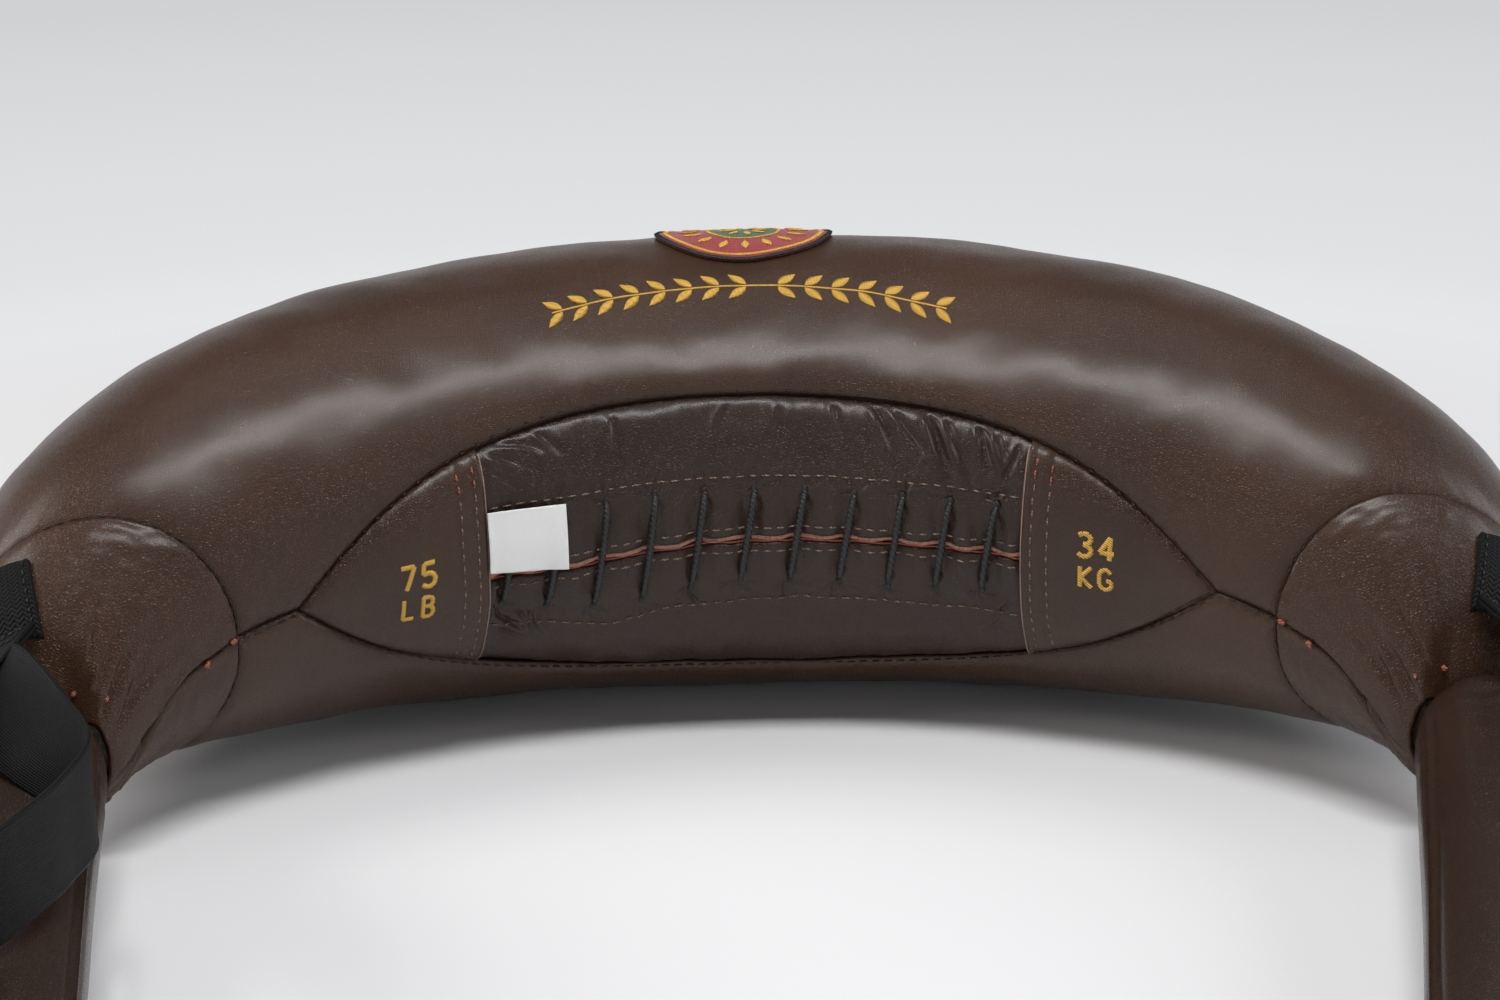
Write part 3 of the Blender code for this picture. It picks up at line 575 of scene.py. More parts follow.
# The two long panels of the crescent, cut from one hide and sewn inside out with dark
# thread: one over the top and back, one under the belly. They meet along the back and
# close the inner curve above and below the laced part.
def back_seam(turn):
    """The lean of the seam along the back, half way round the section."""
    return math.pi


def back_seam_below(turn):
    return -math.pi


top_leans = between(lens_top, back_seam)
belly_leans = between(back_seam_below, lens_bottom)


def long_panel_turn(across):
    return mix(-TIP_SEAM_TURN, TIP_SEAM_TURN, across)


top_gaps = edge_gaps(top_leans)
top_panel = panel("top_panel_leather", long_panel_turn, top_leans, (300, 116), top_gaps,
                  BODY_HIDE)
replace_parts(top_panel, "top_panel")
belly_panel = panel("bottom_panel_leather", long_panel_turn, belly_leans, (260, 84),
                    edge_gaps(belly_leans), BODY_HIDE)
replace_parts(belly_panel, "bottom_panel")


# The laced part: two thinner flaps of soft cowhide that the lace draws together. Each is
# turned in at the slit over a raw reddish facing, held by rows of brown thread, and it
# gathers at every crossing of the lace.
WING_EDGE_TURN = math.radians(32)
WING_TIP_SHARE = 0.997
WING_LAP = 0.014
SLIT_LEANS = ((-33, -7.6), (-22, -7.0), (-12, -4.0), (-4, -2.2), (4, -1.9), (12, -2.2), (21, -3.0),
              (33, -4.2))
SLIT_OPEN = 0.0034
SLIT_SWAY = 0.00035
SLIT_WANDER = 0.0005
LACE_FIRST_TURN = math.radians(-29.2)
LACE_LAST_TURN = math.radians(27.6)
LACE_SLANT = math.radians(1.7)
LACE_TOPS = (6, 8, 9, 10, 10, 10, 10, 9, 9, 8.5, 8.5)
LACE_BOTTOMS = (-15, -17, -18, -17, -14, -12, -12.5, -13, -14, -14, -14)
LACE_PITCH = (LACE_LAST_TURN - LACE_FIRST_TURN) / (len(LACE_TOPS) - 1)
SLIT_LAP = 0.004
FLAP_DEPTH = LEATHER + LAP_GAP
GATHER = 0.0012
FOLD = 0.0006
GATHER_REACH = math.radians(12)
FLAP_WAVE = 0.0009
HOLE_FOLDS = 5
HOLE_FOLD_START = 0.0015
HOLE_FOLD_REACH = 0.010
HOLE_FOLD_WIDTH = 0.0011
HOLE_FOLD_DEPTH = 0.0006
DRAWN_FOLD = (0.002, 0.012, 0.0016, 0.0006)
LONG_FOLD_GAIN = 1.4


def table(points, turn):
    """A lean read from pairs of turn and lean in degrees, smoothly between them."""
    size = math.degrees(turn)
    for (first, low), (last, high) in zip(points, points[1:]):
        if size <= last:
            return math.radians(mix(low, high, smooth((size - first) / (last - first)) * 0.5
                                    + fade((size - first) / (last - first)) * 0.5))
    return math.radians(points[-1][1])


def slit_lean(turn):
    return table(SLIT_LEANS, turn)


def lace_places():
    for number, (top, bottom) in enumerate(zip(LACE_TOPS, LACE_BOTTOMS)):
        turn = LACE_FIRST_TURN + number * LACE_PITCH
        yield ((turn + LACE_SLANT / 2, math.radians(top)),
               (turn - LACE_SLANT / 2, math.radians(bottom)))


def on_flap(turn, lean):
    """A place on the flaps in metres, along the slit and across it."""
    return Vector((turn * (SPAN_HALF - BODY_RADIUS), lean * BODY_RADIUS))


def pulled_folds():
    """Folds as lines on the flap with a width and a depth: short ones that fan from every
    hole, and long ones where the flap hangs from its corners."""
    for number, pair in enumerate(lace_places()):
        for part, (turn, lean) in enumerate(pair):
            hole = on_flap(turn, lean)
            for ray in range(HOLE_FOLDS):
                dice = [noise.noise(Vector((number * 3.7 + ray * 1.3, part * 9.1, seed)))
                        for seed in (0.2, 5.4, 9.6)]
                angle = math.radians(90 - 180 * part + (ray - 2) * 24 + 26 * dice[0])
                way = Vector((math.cos(angle), math.sin(angle)))
                reach = HOLE_FOLD_REACH + 0.009 * abs(dice[1]) + 0.004 * (ray == 2)
                deep = HOLE_FOLD_DEPTH + 0.0007 * abs(dice[2])
                yield hole + way * HOLE_FOLD_START, hole + way * reach, HOLE_FOLD_WIDTH, deep
            first, last, width, deep = DRAWN_FOLD
            inwards = Vector((0, -1 if part == 0 else 1))
            yield hole + inwards * first, hole + inwards * last, width, deep
    for start_turn, start_lean, turned, reach, width, deep in LONG_FOLDS:
        start = on_flap(math.radians(start_turn), math.radians(start_lean))
        angle = math.radians(turned)
        stop = start + Vector((math.cos(angle), math.sin(angle))) * reach
        yield start, stop, width, deep * LONG_FOLD_GAIN


# Turn and lean where a long fold starts, its way on the flap, length, width and depth.
LONG_FOLDS = (
    (13, 31, -62, 0.040, 0.0022, 0.0013), (16, 31, -60, 0.037, 0.0018, 0.0010),
    (19, 30, -66, 0.042, 0.0024, 0.0016), (22, 29, -72, 0.036, 0.0019, 0.0012),
    (25, 28, -64, 0.028, 0.0021, 0.0012), (28, 27, -78, 0.026, 0.0017, 0.0010),
    (9, 32, -70, 0.028, 0.0020, 0.0008), (30, 24, -100, 0.022, 0.0016, 0.0010),
    (30, 14, -150, 0.020, 0.0016, 0.0008), (3, 31, -84, 0.024, 0.0018, 0.0006),
    (-3, 31, -96, 0.022, 0.0018, 0.0006), (-30, 25, -40, 0.020, 0.0018, 0.0010),
    (-29, 27, -20, 0.026, 0.0018, 0.0008), (-30, 20, -50, 0.016, 0.0015, 0.0008),
    (-24, 29, -64, 0.022, 0.0018, 0.0007), (-16, 30, -80, 0.020, 0.0018, 0.0006),
    (-30, -19, -52, 0.026, 0.0016, 0.0013), (-28.5, -18, -60, 0.025, 0.0014, 0.0011),
    (-27, -18, -66, 0.024, 0.0014, 0.0010), (-30, -24, -44, 0.018, 0.0014, 0.0009),
    (-25, -19, -74, 0.020, 0.0014, 0.0008), (-30.5, -15, -84, 0.018, 0.0014, 0.0009),
    (30, -17, -120, 0.018, 0.0015, 0.0008), (29, -24, -140, 0.016, 0.0015, 0.0006),
    (12, -20, -96, 0.016, 0.0016, 0.0005), (-8, -20, -84, 0.016, 0.0016, 0.0005))

# The folds sorted into bins along the slit, so that a place looks only at those near it.
FOLD_BIN = 0.008
FOLD_MARGIN = 0.006
FOLD_BINS = {}
for fold in pulled_folds():
    low, high = sorted((fold[0].x, fold[1].x))
    first_bin = math.floor((low - FOLD_MARGIN) / FOLD_BIN)
    last_bin = math.floor((high + FOLD_MARGIN) / FOLD_BIN)
    for number in range(first_bin, last_bin + 1):
        FOLD_BINS.setdefault(number, []).append(fold)


def fold_depth(spot):
    """Depth of the folds at a place on the flap; each is deepest near its start."""
    depth = 0.0
    for start, stop, width, deep in FOLD_BINS.get(math.floor(spot.x / FOLD_BIN), ()):
        run = stop - start
        share = (spot - start).dot(run) / run.length_squared
        if not -0.15 < share < 1.1:
            continue
        bow = 0.0016 * math.sin(3 * share + start.x * 300)
        away = ((spot - start).cross(run) / run.length + bow) / (width * (0.7 + 0.6 * fade(share)))
        if abs(away) < 3.5:
            taper = smooth((share + 0.15) / 0.3) * (1 - smooth((share - 0.35) / 0.75))
            depth += deep * taper * (math.exp(-away ** 2) - 0.6 * math.exp(-(away - 1.7) ** 2))
    return depth


def gathering(turn, lean):
    """Waves between the crossings, and the pulled folds."""
    spot = on_flap(turn, lean)
    strong = math.exp(-((lean - slit_lean(turn)) / GATHER_REACH) ** 2)
    height = GATHER * strong * -math.cos((turn - LACE_FIRST_TURN) / LACE_PITCH * 2 * math.pi)
    folds = noise.noise(Vector((spot.x * 260, spot.y * 45, 1.7)))
    broad = noise.noise(Vector((spot.x * 75, spot.y * 60, 6.1)))
    return height + FOLD * (0.3 + strong) * folds + FLAP_WAVE * broad - fold_depth(spot)


def slit_wave(turn):
    """The turned edges of the slit waver between the crossings."""
    phase = (turn - LACE_FIRST_TURN) / LACE_PITCH * 2 * math.pi
    wander = SLIT_WANDER * noise.noise(Vector((turn * 30, 0, 0)))
    return SLIT_SWAY * math.cos(phase + 0.6) + wander


def slit_edge(turn, side, back=0.0):
    """Lean of the slit's edge above it, side 1, or below it, -1, less a width back into it."""
    return slit_lean(turn) + side * as_lean(SLIT_OPEN / 2 + slit_wave(turn) - back)


def upper_flap_leans(turn):
    return slit_edge(turn, 1), lens_top(turn) + as_lean(SLIT_LAP)


def lower_flap_leans(turn):
    return lens_bottom(turn) - as_lean(SLIT_LAP), slit_edge(turn, -1)


HINGE_DIP = 0.0009
HINGE_REACH = 0.026
HINGE_LEAN = 0.04
LENS_REACH = 0.008
WING_HOLDS = 0.001
WING_EASE = 0.006
SLIT_ROLL = 0.0016
SLIT_ROLL_WIDTH = 0.0012
PULL_REACH = math.radians(13)


def closure_height(turn, lean):
    """How far the closure's leather stands out: it dives only into the two lens seams, and
    lies flat where the label is sewn on."""
    gaps = [(abs(seam(turn) - lean) * BODY_RADIUS, turn * SPAN_HALF + 2 * number)
            for number, seam in enumerate((lens_top, lens_bottom))]
    hinge = on_flap(turn, lean) - on_flap(-WING_EDGE_TURN, HINGE_LEAN)
    near = math.exp(-(hinge.length / HINGE_REACH) ** 4)
    return mix(swelling(skin(turn, lean), gaps), -HINGE_DIP, near)


def lens_gap(turn, lean):
    """Distance to the nearer of the two lens seams."""
    return min(abs(lens_top(turn) - lean), abs(lens_bottom(turn) - lean)) * BODY_RADIUS


def flap_height(turn, lean, slit):
    """A flap gathers clear of the lens seams and the wings, and rolls in at the slit."""
    open_part = smooth((WING_EDGE_TURN + as_turn(WING_HOLDS) - abs(turn)) / as_turn(WING_EASE))
    inside = lens_bottom(turn) < lean < lens_top(turn)
    clear = smooth(lens_gap(turn, lean) / LENS_REACH) if inside else 0
    height = closure_height(turn, lean) + gathering(turn, lean) * open_part * clear
    return height - SLIT_ROLL * math.exp(-abs(lean - slit) * BODY_RADIUS / SLIT_ROLL_WIDTH)


FLAP_REACH = WING_EDGE_TURN + as_turn(WING_LAP)


def laced_flap(name, leans, upper):
    """A flap whose edge at the slit is turned in, so that it is rounded."""
    def flat_place(across, up):
        turn = mix(-FLAP_REACH, FLAP_REACH, across)
        low, high = leans(turn)
        return turn, mix(low, high, up), low if upper else high

    def place(across, up, inwards):
        turn, lean, slit = flat_place(across, up)
        return skin(turn, lean, FLAP_DEPTH + inwards - flap_height(turn, lean, slit))

    def pull(across, up):
        turn, lean, _ = flat_place(across, up)
        spot = on_flap(turn, lean)
        by_slit = 0.8 * math.exp(-((lean - slit_lean(turn)) / PULL_REACH) ** 2)
        by_seam = 0.9 * math.exp(-lens_gap(turn, lean) / LENS_REACH)
        patch = fade(0.5 + 1.3 * noise.noise(Vector((spot.x * 30, spot.y * 30, 3))))
        return spot.x, spot.y, max(by_slit, by_seam) * patch + 0.15

    sheet = leather_sheet((330, 84), place, 0, LEATHER, pull=pull)
    flap = show(name, sheet, SOFT_AND_SHADED_HIDE, "bag", "leather")
    return flap


upper_flap = laced_flap("upper_flap_leather", upper_flap_leans, True)
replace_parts(upper_flap, "upper_laced_flap")
lower_flap = laced_flap("lower_flap_leather", lower_flap_leans, False)
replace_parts(lower_flap, "lower_laced_flap")


# The facings: strips of split hide, raw and reddish, glued and sewn behind the slit's two
# edges so that the lace doesn't tear them. They peep out a little in the slit. The upper one
# is coloured as a paler copy of the red hide: a painted highlight.
FACING = 0.0015
FACING_WIDTH = 0.030
FACING_PEEP = 0.0014
FACING_LIFT = 0.0026
FACING_LIFT_WIDTH = 0.0018
FACING_SINK = 0.0006
FACING_DEPTH = FLAP_DEPTH + LEATHER + LAP_GAP


def split_hide(name, dark, light):
    """The fuzzy flesh side of split leather: matt, with a nap of about 1 mm."""
    made, tree, _ = new_finish(name)
    spot = add(tree, "TexCoord").outputs["Object"]
    fuzz = add(tree, "TexNoise", Vector=spot, Scale=900, Detail=4, Roughness=0.7).outputs["Fac"]
    return surfaced(made, fuzz, ((0.3, dark), (0.75, light)), 0.8, 0.0004, Roughness=0.85)


# The upper facing's paler copy of the hide is a painted highlight; the lower one has the hide's
# own red.
SPLIT_HIDES = {1: split_hide("split_hide_painted_highlight", "#9d6656", "#d8ab98"),
               -1: split_hide("red_split_hide", "#84402f", "#bb6a55")}


def facing(name, side):
    """Side is 1 above the slit and -1 below it."""
    def place(across, up, inwards):
        turn = mix(-WING_EDGE_TURN, WING_EDGE_TURN, across)
        peep = FACING_PEEP * (1 + 0.3 * noise.noise(Vector((turn * 40, side * 3, 0))))
        lean = slit_edge(turn, side, peep) + side * as_lean(FACING_WIDTH) * up
        lift = FACING_LIFT * math.exp(-up * FACING_WIDTH / FACING_LIFT_WIDTH)
        height = closure_height(turn, lean) + gathering(turn, lean) - FACING_SINK
        return skin(turn, lean, FACING_DEPTH + inwards - height - lift)

    strip = leather_sheet((200, 16), place, 0, FACING)
    return show(name, strip, SPLIT_HIDES[side], "bag", "suede")


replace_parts(facing("upper_facing_hide", 1), "upper_facing")
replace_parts(facing("lower_facing_hide", -1), "lower_facing")


# The closure's two wings: triangles of the body's hide whose cut edge is left raw and laps
# over the flaps' ends, held by two rows of thread. The cut shows paler than the grain.
WING_ROWS = (0.004, 0.0115)
WING_ROW_SINK = 0.0007
WING_ROW_WIDTH = 0.0013
WING_STANDS = 0.0002
WING_STANDS_WIDTH = 0.01
WING_THICKNESS = LEATHER * 0.8
WING_CUT_RADIUS = 0.0008
WING_CUT_AHEAD = 0.0001
wing_leans = between(lens_bottom, lens_top)


def wing_sheet(side, word):
    end = side * LENS_TURN * WING_TIP_SHARE

    def height_at(turn, lean):
        from_edge = (abs(turn) - WING_EDGE_TURN) * (SPAN_HALF - BODY_RADIUS)
        stands = WING_STANDS * math.exp(-from_edge / WING_STANDS_WIDTH)
        height = closure_height(turn, lean) + stands
        for row in WING_ROWS:
            height -= WING_ROW_SINK * math.exp(-((from_edge - row) / WING_ROW_WIDTH) ** 2)
        return height

    def place(across, up, inwards):
        turn = mix(side * WING_EDGE_TURN, end, across)
        low, high = wing_leans(turn)
        lean = mix(low, high, up)
        return skin(turn, lean, inwards - height_at(turn, lean))

    wing = show(word + "_wing_leather", leather_sheet((64, 72), place, 0, WING_THICKNESS),
                BODY_HIDE, "bag", "leather")
    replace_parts(wing, word + "_closure_wing")
    return height_at


def tube(name, places, radius, finish, body, slot, shares=None, sides=2):
    """A round cord through some places; shares thin it at its points."""
    curve = bpy.data.curves.new(name, "CURVE")
    curve.dimensions = "3D"
    curve.bevel_depth = radius
    curve.bevel_resolution = sides
    curve.use_fill_caps = True
    line = curve.splines.new("POLY")
    line.points.add(len(places) - 1)
    for number, place in enumerate(places):
        line.points[number].co = (*place, 1)
        line.points[number].radius = 1 if shares is None else shares[number]
    maker = bpy.data.objects.new(name + "_line", curve)
    bpy.context.collection.objects.link(maker)
    bpy.context.view_layer.update()
    body_mesh = bmesh.new()
    body_mesh.from_mesh(maker.to_mesh())
    bpy.data.objects.remove(maker)
    return show(name, body_mesh, finish, body, slot, recalculate=True)


CUT_EDGE = cowhide("cut_edge_of_hide", GRAIN_SIZE, 0.3, "#665046", "#a38d7e")


def wing_details(side, word, height_at):
    """The raw edge, and the two rows of thread beside it."""
    edge = side * (WING_EDGE_TURN - as_turn(WING_CUT_AHEAD))
    tube(word + "_wing_cut_edge",
         [skin(edge, lean, WING_CUT_RADIUS - height_at(edge, lean))
          for lean in steps(*wing_leans(WING_EDGE_TURN), 40)[1:-1]],
         WING_CUT_RADIUS, CUT_EDGE, "bag", "leather")
    for number, row in enumerate(WING_ROWS):
        turn = side * (WING_EDGE_TURN + as_turn(row))
        route = [laid(turn, lean, -height_at(turn, lean))
                 for lean in steps(*wing_leans(turn), 60)[3:58]]
        stitches(f"{word}_wing_row_{number + 1}", route, BROWN_THREAD, "bag", "leather")
        stitches(f"{word}_wing_row_{number + 1}_end", route[-7:], COPPER_THREAD, "bag",
                 "leather", length=0.0042, pitch=0.005, thick=0.0012, sunk=0.0)


wing_heights = {}
for side, word in SIDES:
    wing_heights[side] = wing_sheet(side, word)
    wing_details(side, word, wing_heights[side])


# Rows of brown thread across the flaps: one that holds each facing's far edge, one close
# to each edge of the slit, all a little wavy from the gathered leather.
FLAP_ROW_SHARE = 0.985
FLAP_ROWS = {
    "upper_flap_far_row": ((-33, 11), (-22, 11.5), (-10, 13.5), (4, 14.2), (16, 13.2), (33, 11.5)),
    "upper_flap_slit_row": [(turn, lean + 3.2) for turn, lean in SLIT_LEANS],
    "lower_flap_slit_row": [(turn, lean - 2.8) for turn, lean in SLIT_LEANS],
    "lower_flap_far_row": ((-33, -22), (-26, -22.6), (-17, -24.4), (-8, -19.5), (5, -18),
                           (22, -20), (33, -22))}
for number, (name, leans_at) in enumerate(FLAP_ROWS.items()):
    route = []
    for place in steps(-WING_EDGE_TURN, WING_EDGE_TURN, 240):
        turn = place * FLAP_ROW_SHARE
        lean = table(leans_at, turn) + 0.004 * noise.noise(Vector((turn * 14, number * 9.1, 0.3)))
        height = flap_height(turn, lean, slit_edge(turn, 1 if number < 2 else -1))
        route.append(laid(turn, lean, FLAP_DEPTH - height))
    stitches(name, route, BROWN_THREAD, "bag", "leather", length=0.0050, pitch=0.0064)


# The lace: one waxed black braid, whipped over the slit through punched holes.
LACE_RADIUS = 0.0018
LACE_CLEAR = 0.0006
LACE_BEND = LACE_CLEAR + LACE_RADIUS
LACE_DIVE = 0.035
LACE_WANDER = 0.0003
LACE_SLACK = 0.001
# Half axes of the dark beads that paint the shade of the lace's holes.
HOLE_SHADE_AXES = (0.0017, 0.0021, 0.0006)
HOLE_AWAY = 0.0012
HOLE_DEPTH = 0.0001
LACE_OVER = FLAP_DEPTH - LACE_BEND
LACE_UNDER = FACING_DEPTH + FACING + LACE_CLEAR + LACE_RADIUS


def waxed_braid():
    """Waxed cotton braid: slanting strands of 1 mm, near black, with a dull shine."""
    made, tree, _ = new_finish("waxed_braid")
    spot = add(tree, "TexCoord").outputs["Object"]
    one = add(tree, "TexWave", bands_direction="DIAGONAL", Vector=spot, Scale=200, Distortion=1)
    fine = add(tree, "TexNoise", Vector=spot, Scale=1500, Detail=2)
    plait = add(tree, "Math", operation="MULTIPLY_ADD", in0=fine.outputs["Fac"], in1=0.5,
                in2=one.outputs["Fac"]).outputs[0]
    return surfaced(made, plait, ((0.3, "#0a0a0a"), (1.0, "#262626")), 0.6, 0.0004,
                    Roughness=0.5)


def lace_route():
    """Up through each hole, across the slit, down, and on below to the next, each place with
    its share of the braid's thickness."""
    pairs = list(lace_places())
    for number, ((turn_up, lean_up), (turn_down, lean_down)) in enumerate(pairs):
        yield skin(turn_up, lean_up, LACE_UNDER), 1
        for share in steps(0, 1, 12):
            turn = mix(turn_up, turn_down, share)
            lean = mix(lean_up, lean_down, share)
            height = closure_height(turn, lean) - 0.6 * GATHER
            dip = LACE_BEND * 0.9 * (math.exp(-share / LACE_DIVE)
                                     + math.exp(-(1 - share) / LACE_DIVE))
            wander = LACE_WANDER * noise.noise(Vector((number * 5.1, share * 5, 0)))
            yield (skin(turn, lean, LACE_OVER - height - (wander - dip)),
                   0.72 + 0.25 * math.sin(math.pi * share) ** 0.7)
        yield skin(turn_down, lean_down, LACE_UNDER), 1
        if number + 1 < len(pairs):
            turn_next, lean_next = pairs[number + 1][0]
            yield skin((turn_down + turn_next) / 2, (lean_down + lean_next) / 2,
                       LACE_UNDER + LACE_SLACK), 1


BRAID = waxed_braid()
lace_line, lace_shares = zip(*lace_route())
lace = tube("waxed_lace", lace_line, LACE_RADIUS, BRAID, "bag", "lace", lace_shares, sides=3)
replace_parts(lace, "lace")


def painted_hole_shades():
    """Small dark flattened beads beside each of the lace's holes: painted shade for the dark
    holes.
    """
    shade_beads = bmesh.new()
    for pair in lace_places():
        for number, (turn, lean) in enumerate(pair):
            away = as_lean(HOLE_AWAY) * (1 if number == 0 else -1)
            height = flap_height(turn, lean, 9)
            spot = skin(turn, lean + away, FLAP_DEPTH - height + HOLE_DEPTH)
            face = UP.rotation_difference(outward(turn, lean)).to_matrix().to_4x4()
            bmesh.ops.create_uvsphere(shade_beads, u_segments=10, v_segments=6, radius=1,
                                      matrix=Matrix.Translation(spot) @ face
                                      @ Matrix.Diagonal((*HOLE_SHADE_AXES, 1)))
    return shade_beads


show("lace_holes_painted_shade", painted_hole_shades(), SEAM_THREAD, "bag", "leather", recalculate=True)


# Dark thread in the body's seams: the lens round the closure, the long inner seams, the
# back seam and the two tip seams. Copper ends stand out where a seam was locked off.
LENS_THREAD_GAP = 0.0008
LENS_THREAD_DEPTH = 0.0018


def sew_seam(name, points, depth=0.0009, **looks):
    """Dark thread that lies this deep in a seam through some (turn, lean) points."""
    route = [laid(turn, lean, depth) for turn, lean in points]
    stitches(name, route, SEAM_THREAD, "bag", "leather", **looks)


for name, seam, way, looks in (
        ("lens_upper_seam", lens_top, 1, {"length": 0.003, "pitch": 0.0085}),
        ("lens_lower_seam", lens_bottom, -1, {})):
    sew_seam(name, [(turn, seam(turn) + way * as_lean(LENS_THREAD_GAP))
                    for turn in steps(-LENS_TURN, LENS_TURN, 160)], LENS_THREAD_DEPTH, **looks)
sew_seam("back_seam", [(turn, math.pi) for turn in steps(-TIP_SEAM_TURN, TIP_SEAM_TURN, 160)])
for side, word in SIDES:
    sew_seam(word + "_inner_seam",
             [(side * turn, SEAM_LEAN) for turn in steps(LENS_TURN, TIP_SEAM_TURN, 30)])
    sew_seam(word + "_tip_seam", [(slanted(side * TIP_SEAM_TURN, lean), lean)
                                  for lean in steps(-math.pi, math.pi, 90)])


# The label: a small white satin cloth, sewn under the left wing's edge, that lies over the
# lace's first crossings. Nothing is printed on it.
LABEL_WIDTH = 0.035
LABEL_HEIGHT = 0.032
LABEL_THICK = 0.0004
LABEL_LEAN = math.radians(2.3)
LABEL_RISE = 0.0095
LABEL_CURL = 0.0016
LABEL_RIPPLE = 0.0004


def satin_cloth():
    """Woven label satin: a fine white grid of threads with a faint sheen."""
    made, tree, _ = new_finish("white_satin")
    uv = add(tree, "TexCoord").outputs["UV"]
    across = add(tree, "TexWave", bands_direction="X", Vector=uv, Scale=22)
    along_it = add(tree, "TexWave", bands_direction="Y", Vector=uv, Scale=20)
    weave = add(tree, "Math", operation="MULTIPLY", in0=across.outputs["Fac"],
                in1=along_it.outputs["Fac"]).outputs[0]
    return surfaced(made, weave, ((0, "#e8e9e6"), (1, "#f9f9f7")), 0.2, 0.0002,
                    Roughness=0.6, Sheen_Weight=0.2)


def label_place(across, up, lift):
    """The label lies flat at its sewn edge, rises over the lace and curls at its far end."""
    turn = -WING_EDGE_TURN + as_turn(SEAM_GAP) + as_turn(LABEL_WIDTH) * across
    lean = LABEL_LEAN + as_lean(LABEL_HEIGHT) / 2 * (2 * up - 1)
    crest = LACE_RADIUS + LACE_CLEAR - LACE_OVER
    height = closure_height(turn, lean) + mix(SEAM_GAP + HINGE_DIP, crest, smooth(
        across * LABEL_WIDTH / LABEL_RISE))
    curl = LABEL_CURL * smooth((across - 0.72) / 0.28) * (1.1 - up)
    ripple = LABEL_RIPPLE * noise.noise(Vector((across * 3, up * 2, 7)))
    return skin(turn, lean, -height - lift - curl - ripple)


SATIN = satin_cloth()
label = show("white_label", leather_sheet((40, 36), label_place, LABEL_THICK, 0), SATIN,
             "label_flap", "label")
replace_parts(label, "label")


# The round badge on top of the crescent: twill cloth, embroidered all over and edged with a
# thick overlocked border, sewn flat on the leather. Its pattern is a plain one of rings and
# leaves.
BADGE_RADIUS = 0.046
BADGE_THICK = 0.0014
BADGE_LEAN = math.radians(98)
BADGE_EDGE = 0.0017
BADGE_CELLS = (96, 24)
BADGE_GREEN_RADIUS = 0.018
BADGE_PITCH = 0.0006
BADGE_RINGS = ((0.0385, 0.0416), (0.0172, 0.0192))
BADGE_STRAND = 0.0008
RING_LIFT = 0.0002
LEAVES_LIFT = 0.0003
BORDER_WIDTH = 0.0034
BORDER_LIFT = 0.0011
BORDER_PITCH = 0.0010
BORDER_STRAND = 0.0024
GOLD_THREAD = spun_thread("gold_rayon_thread", "#b27f26", "#f2c85e", 0.0006)
BLACK_THREAD = spun_thread("black_rayon_thread", "#08080a", "#222226", 0.0009)


def crown_length(lean):
    """Length of the leather for each radian of turn, at the middle of the crescent."""
    return SPAN_HALF - BODY_RADIUS * math.cos(lean) * CURVE_DEPTH / SPAN_HALF


def on_badge(away, angle, lift):
    """A place on the badge by its distance from the middle and angle, and the way out."""
    lean = BADGE_LEAN + away * math.sin(angle) / BODY_RADIUS
    turn = away * math.cos(angle) / crown_length(lean)
    height = hide_height(turn, lean, top_gaps)
    return laid(turn, lean, -LAP_GAP - height - lift)


def badge_cloth():
    """Red and green fill stitches: close parallel threads, with rows of needle holes."""
    made, tree, shader = new_finish("embroidered_twill")
    uv = add(tree, "TexCoord").outputs["UV"]
    split = add(tree, "SeparateXYZ", in0=uv).outputs
    spot = add(tree, "TexCoord").outputs["Object"]
    lines = add(tree, "TexWave", bands_direction="X", Vector=spot, Scale=420, Distortion=0.6)
    rows = add(tree, "TexWave", bands_direction="Y", Vector=spot, Scale=90, Distortion=0.8)
    weave = add(tree, "Math", operation="MULTIPLY_ADD", in0=rows.outputs["Fac"], in1=0.3,
                in2=lines.outputs["Fac"]).outputs[0]
    red = add(tree, "ValToRGB", Fac=weave, stops=((0.1, "#7c1319"), (1.1, "#b52a2e")))
    green = add(tree, "ValToRGB", Fac=weave, stops=((0.1, "#0f4226"), (1.1, "#23704a")))
    inner = add(tree, "Math", operation="LESS_THAN", in0=split["Y"],
                in1=BADGE_GREEN_RADIUS).outputs[0]
    blend = add(tree, "Mix", data_type="RGBA", Factor=inner, in6=red.outputs["Color"],
                in7=green.outputs["Color"])
    tree.links.new(blend.outputs[2], shader.inputs["Base Color"])
    return surfaced(made, weave, (), 0.7, 0.0004, Roughness=0.5, Sheen_Weight=0.25)


def disc_sheet(cells, radius, surface, outer, inner):
    """A round sheet with a closed middle; up runs from the middle to the rim."""
    def rounded(across, up, depth):
        return surface(up * radius, across * 2 * math.pi, depth)

    return leather_sheet(cells, rounded, outer, inner, wrap=True, size=(1, radius))


def badge_place(away, angle, lift):
    return on_badge(away, angle, lift)[0]


badge = show("badge_cloth", disc_sheet(BADGE_CELLS, BADGE_RADIUS - BADGE_EDGE / 2, badge_place,
                                       BADGE_THICK, 0), badge_cloth(), "bag", "badge")
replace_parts(badge, "badge")


def strands(name, threads, thick, finish, slot):
    """Separate threads, each given by its middle, its half length and way, and the way out."""
    made = bmesh.new()
    for middle, reach, out in threads:
        way = reach.normalized()
        side = out.cross(way).normalized()
        bead(made, middle, (reach, side * thick / 2, way.cross(side) * thick / 2))
    return show(name, made, finish, "bag", slot, recalculate=True)


def thread_between(one, two):
    """A thread for strands() from one place to another, each with its way out."""
    return (one[0] + two[0]) / 2, (two[0] - one[0]) / 2, two[1]


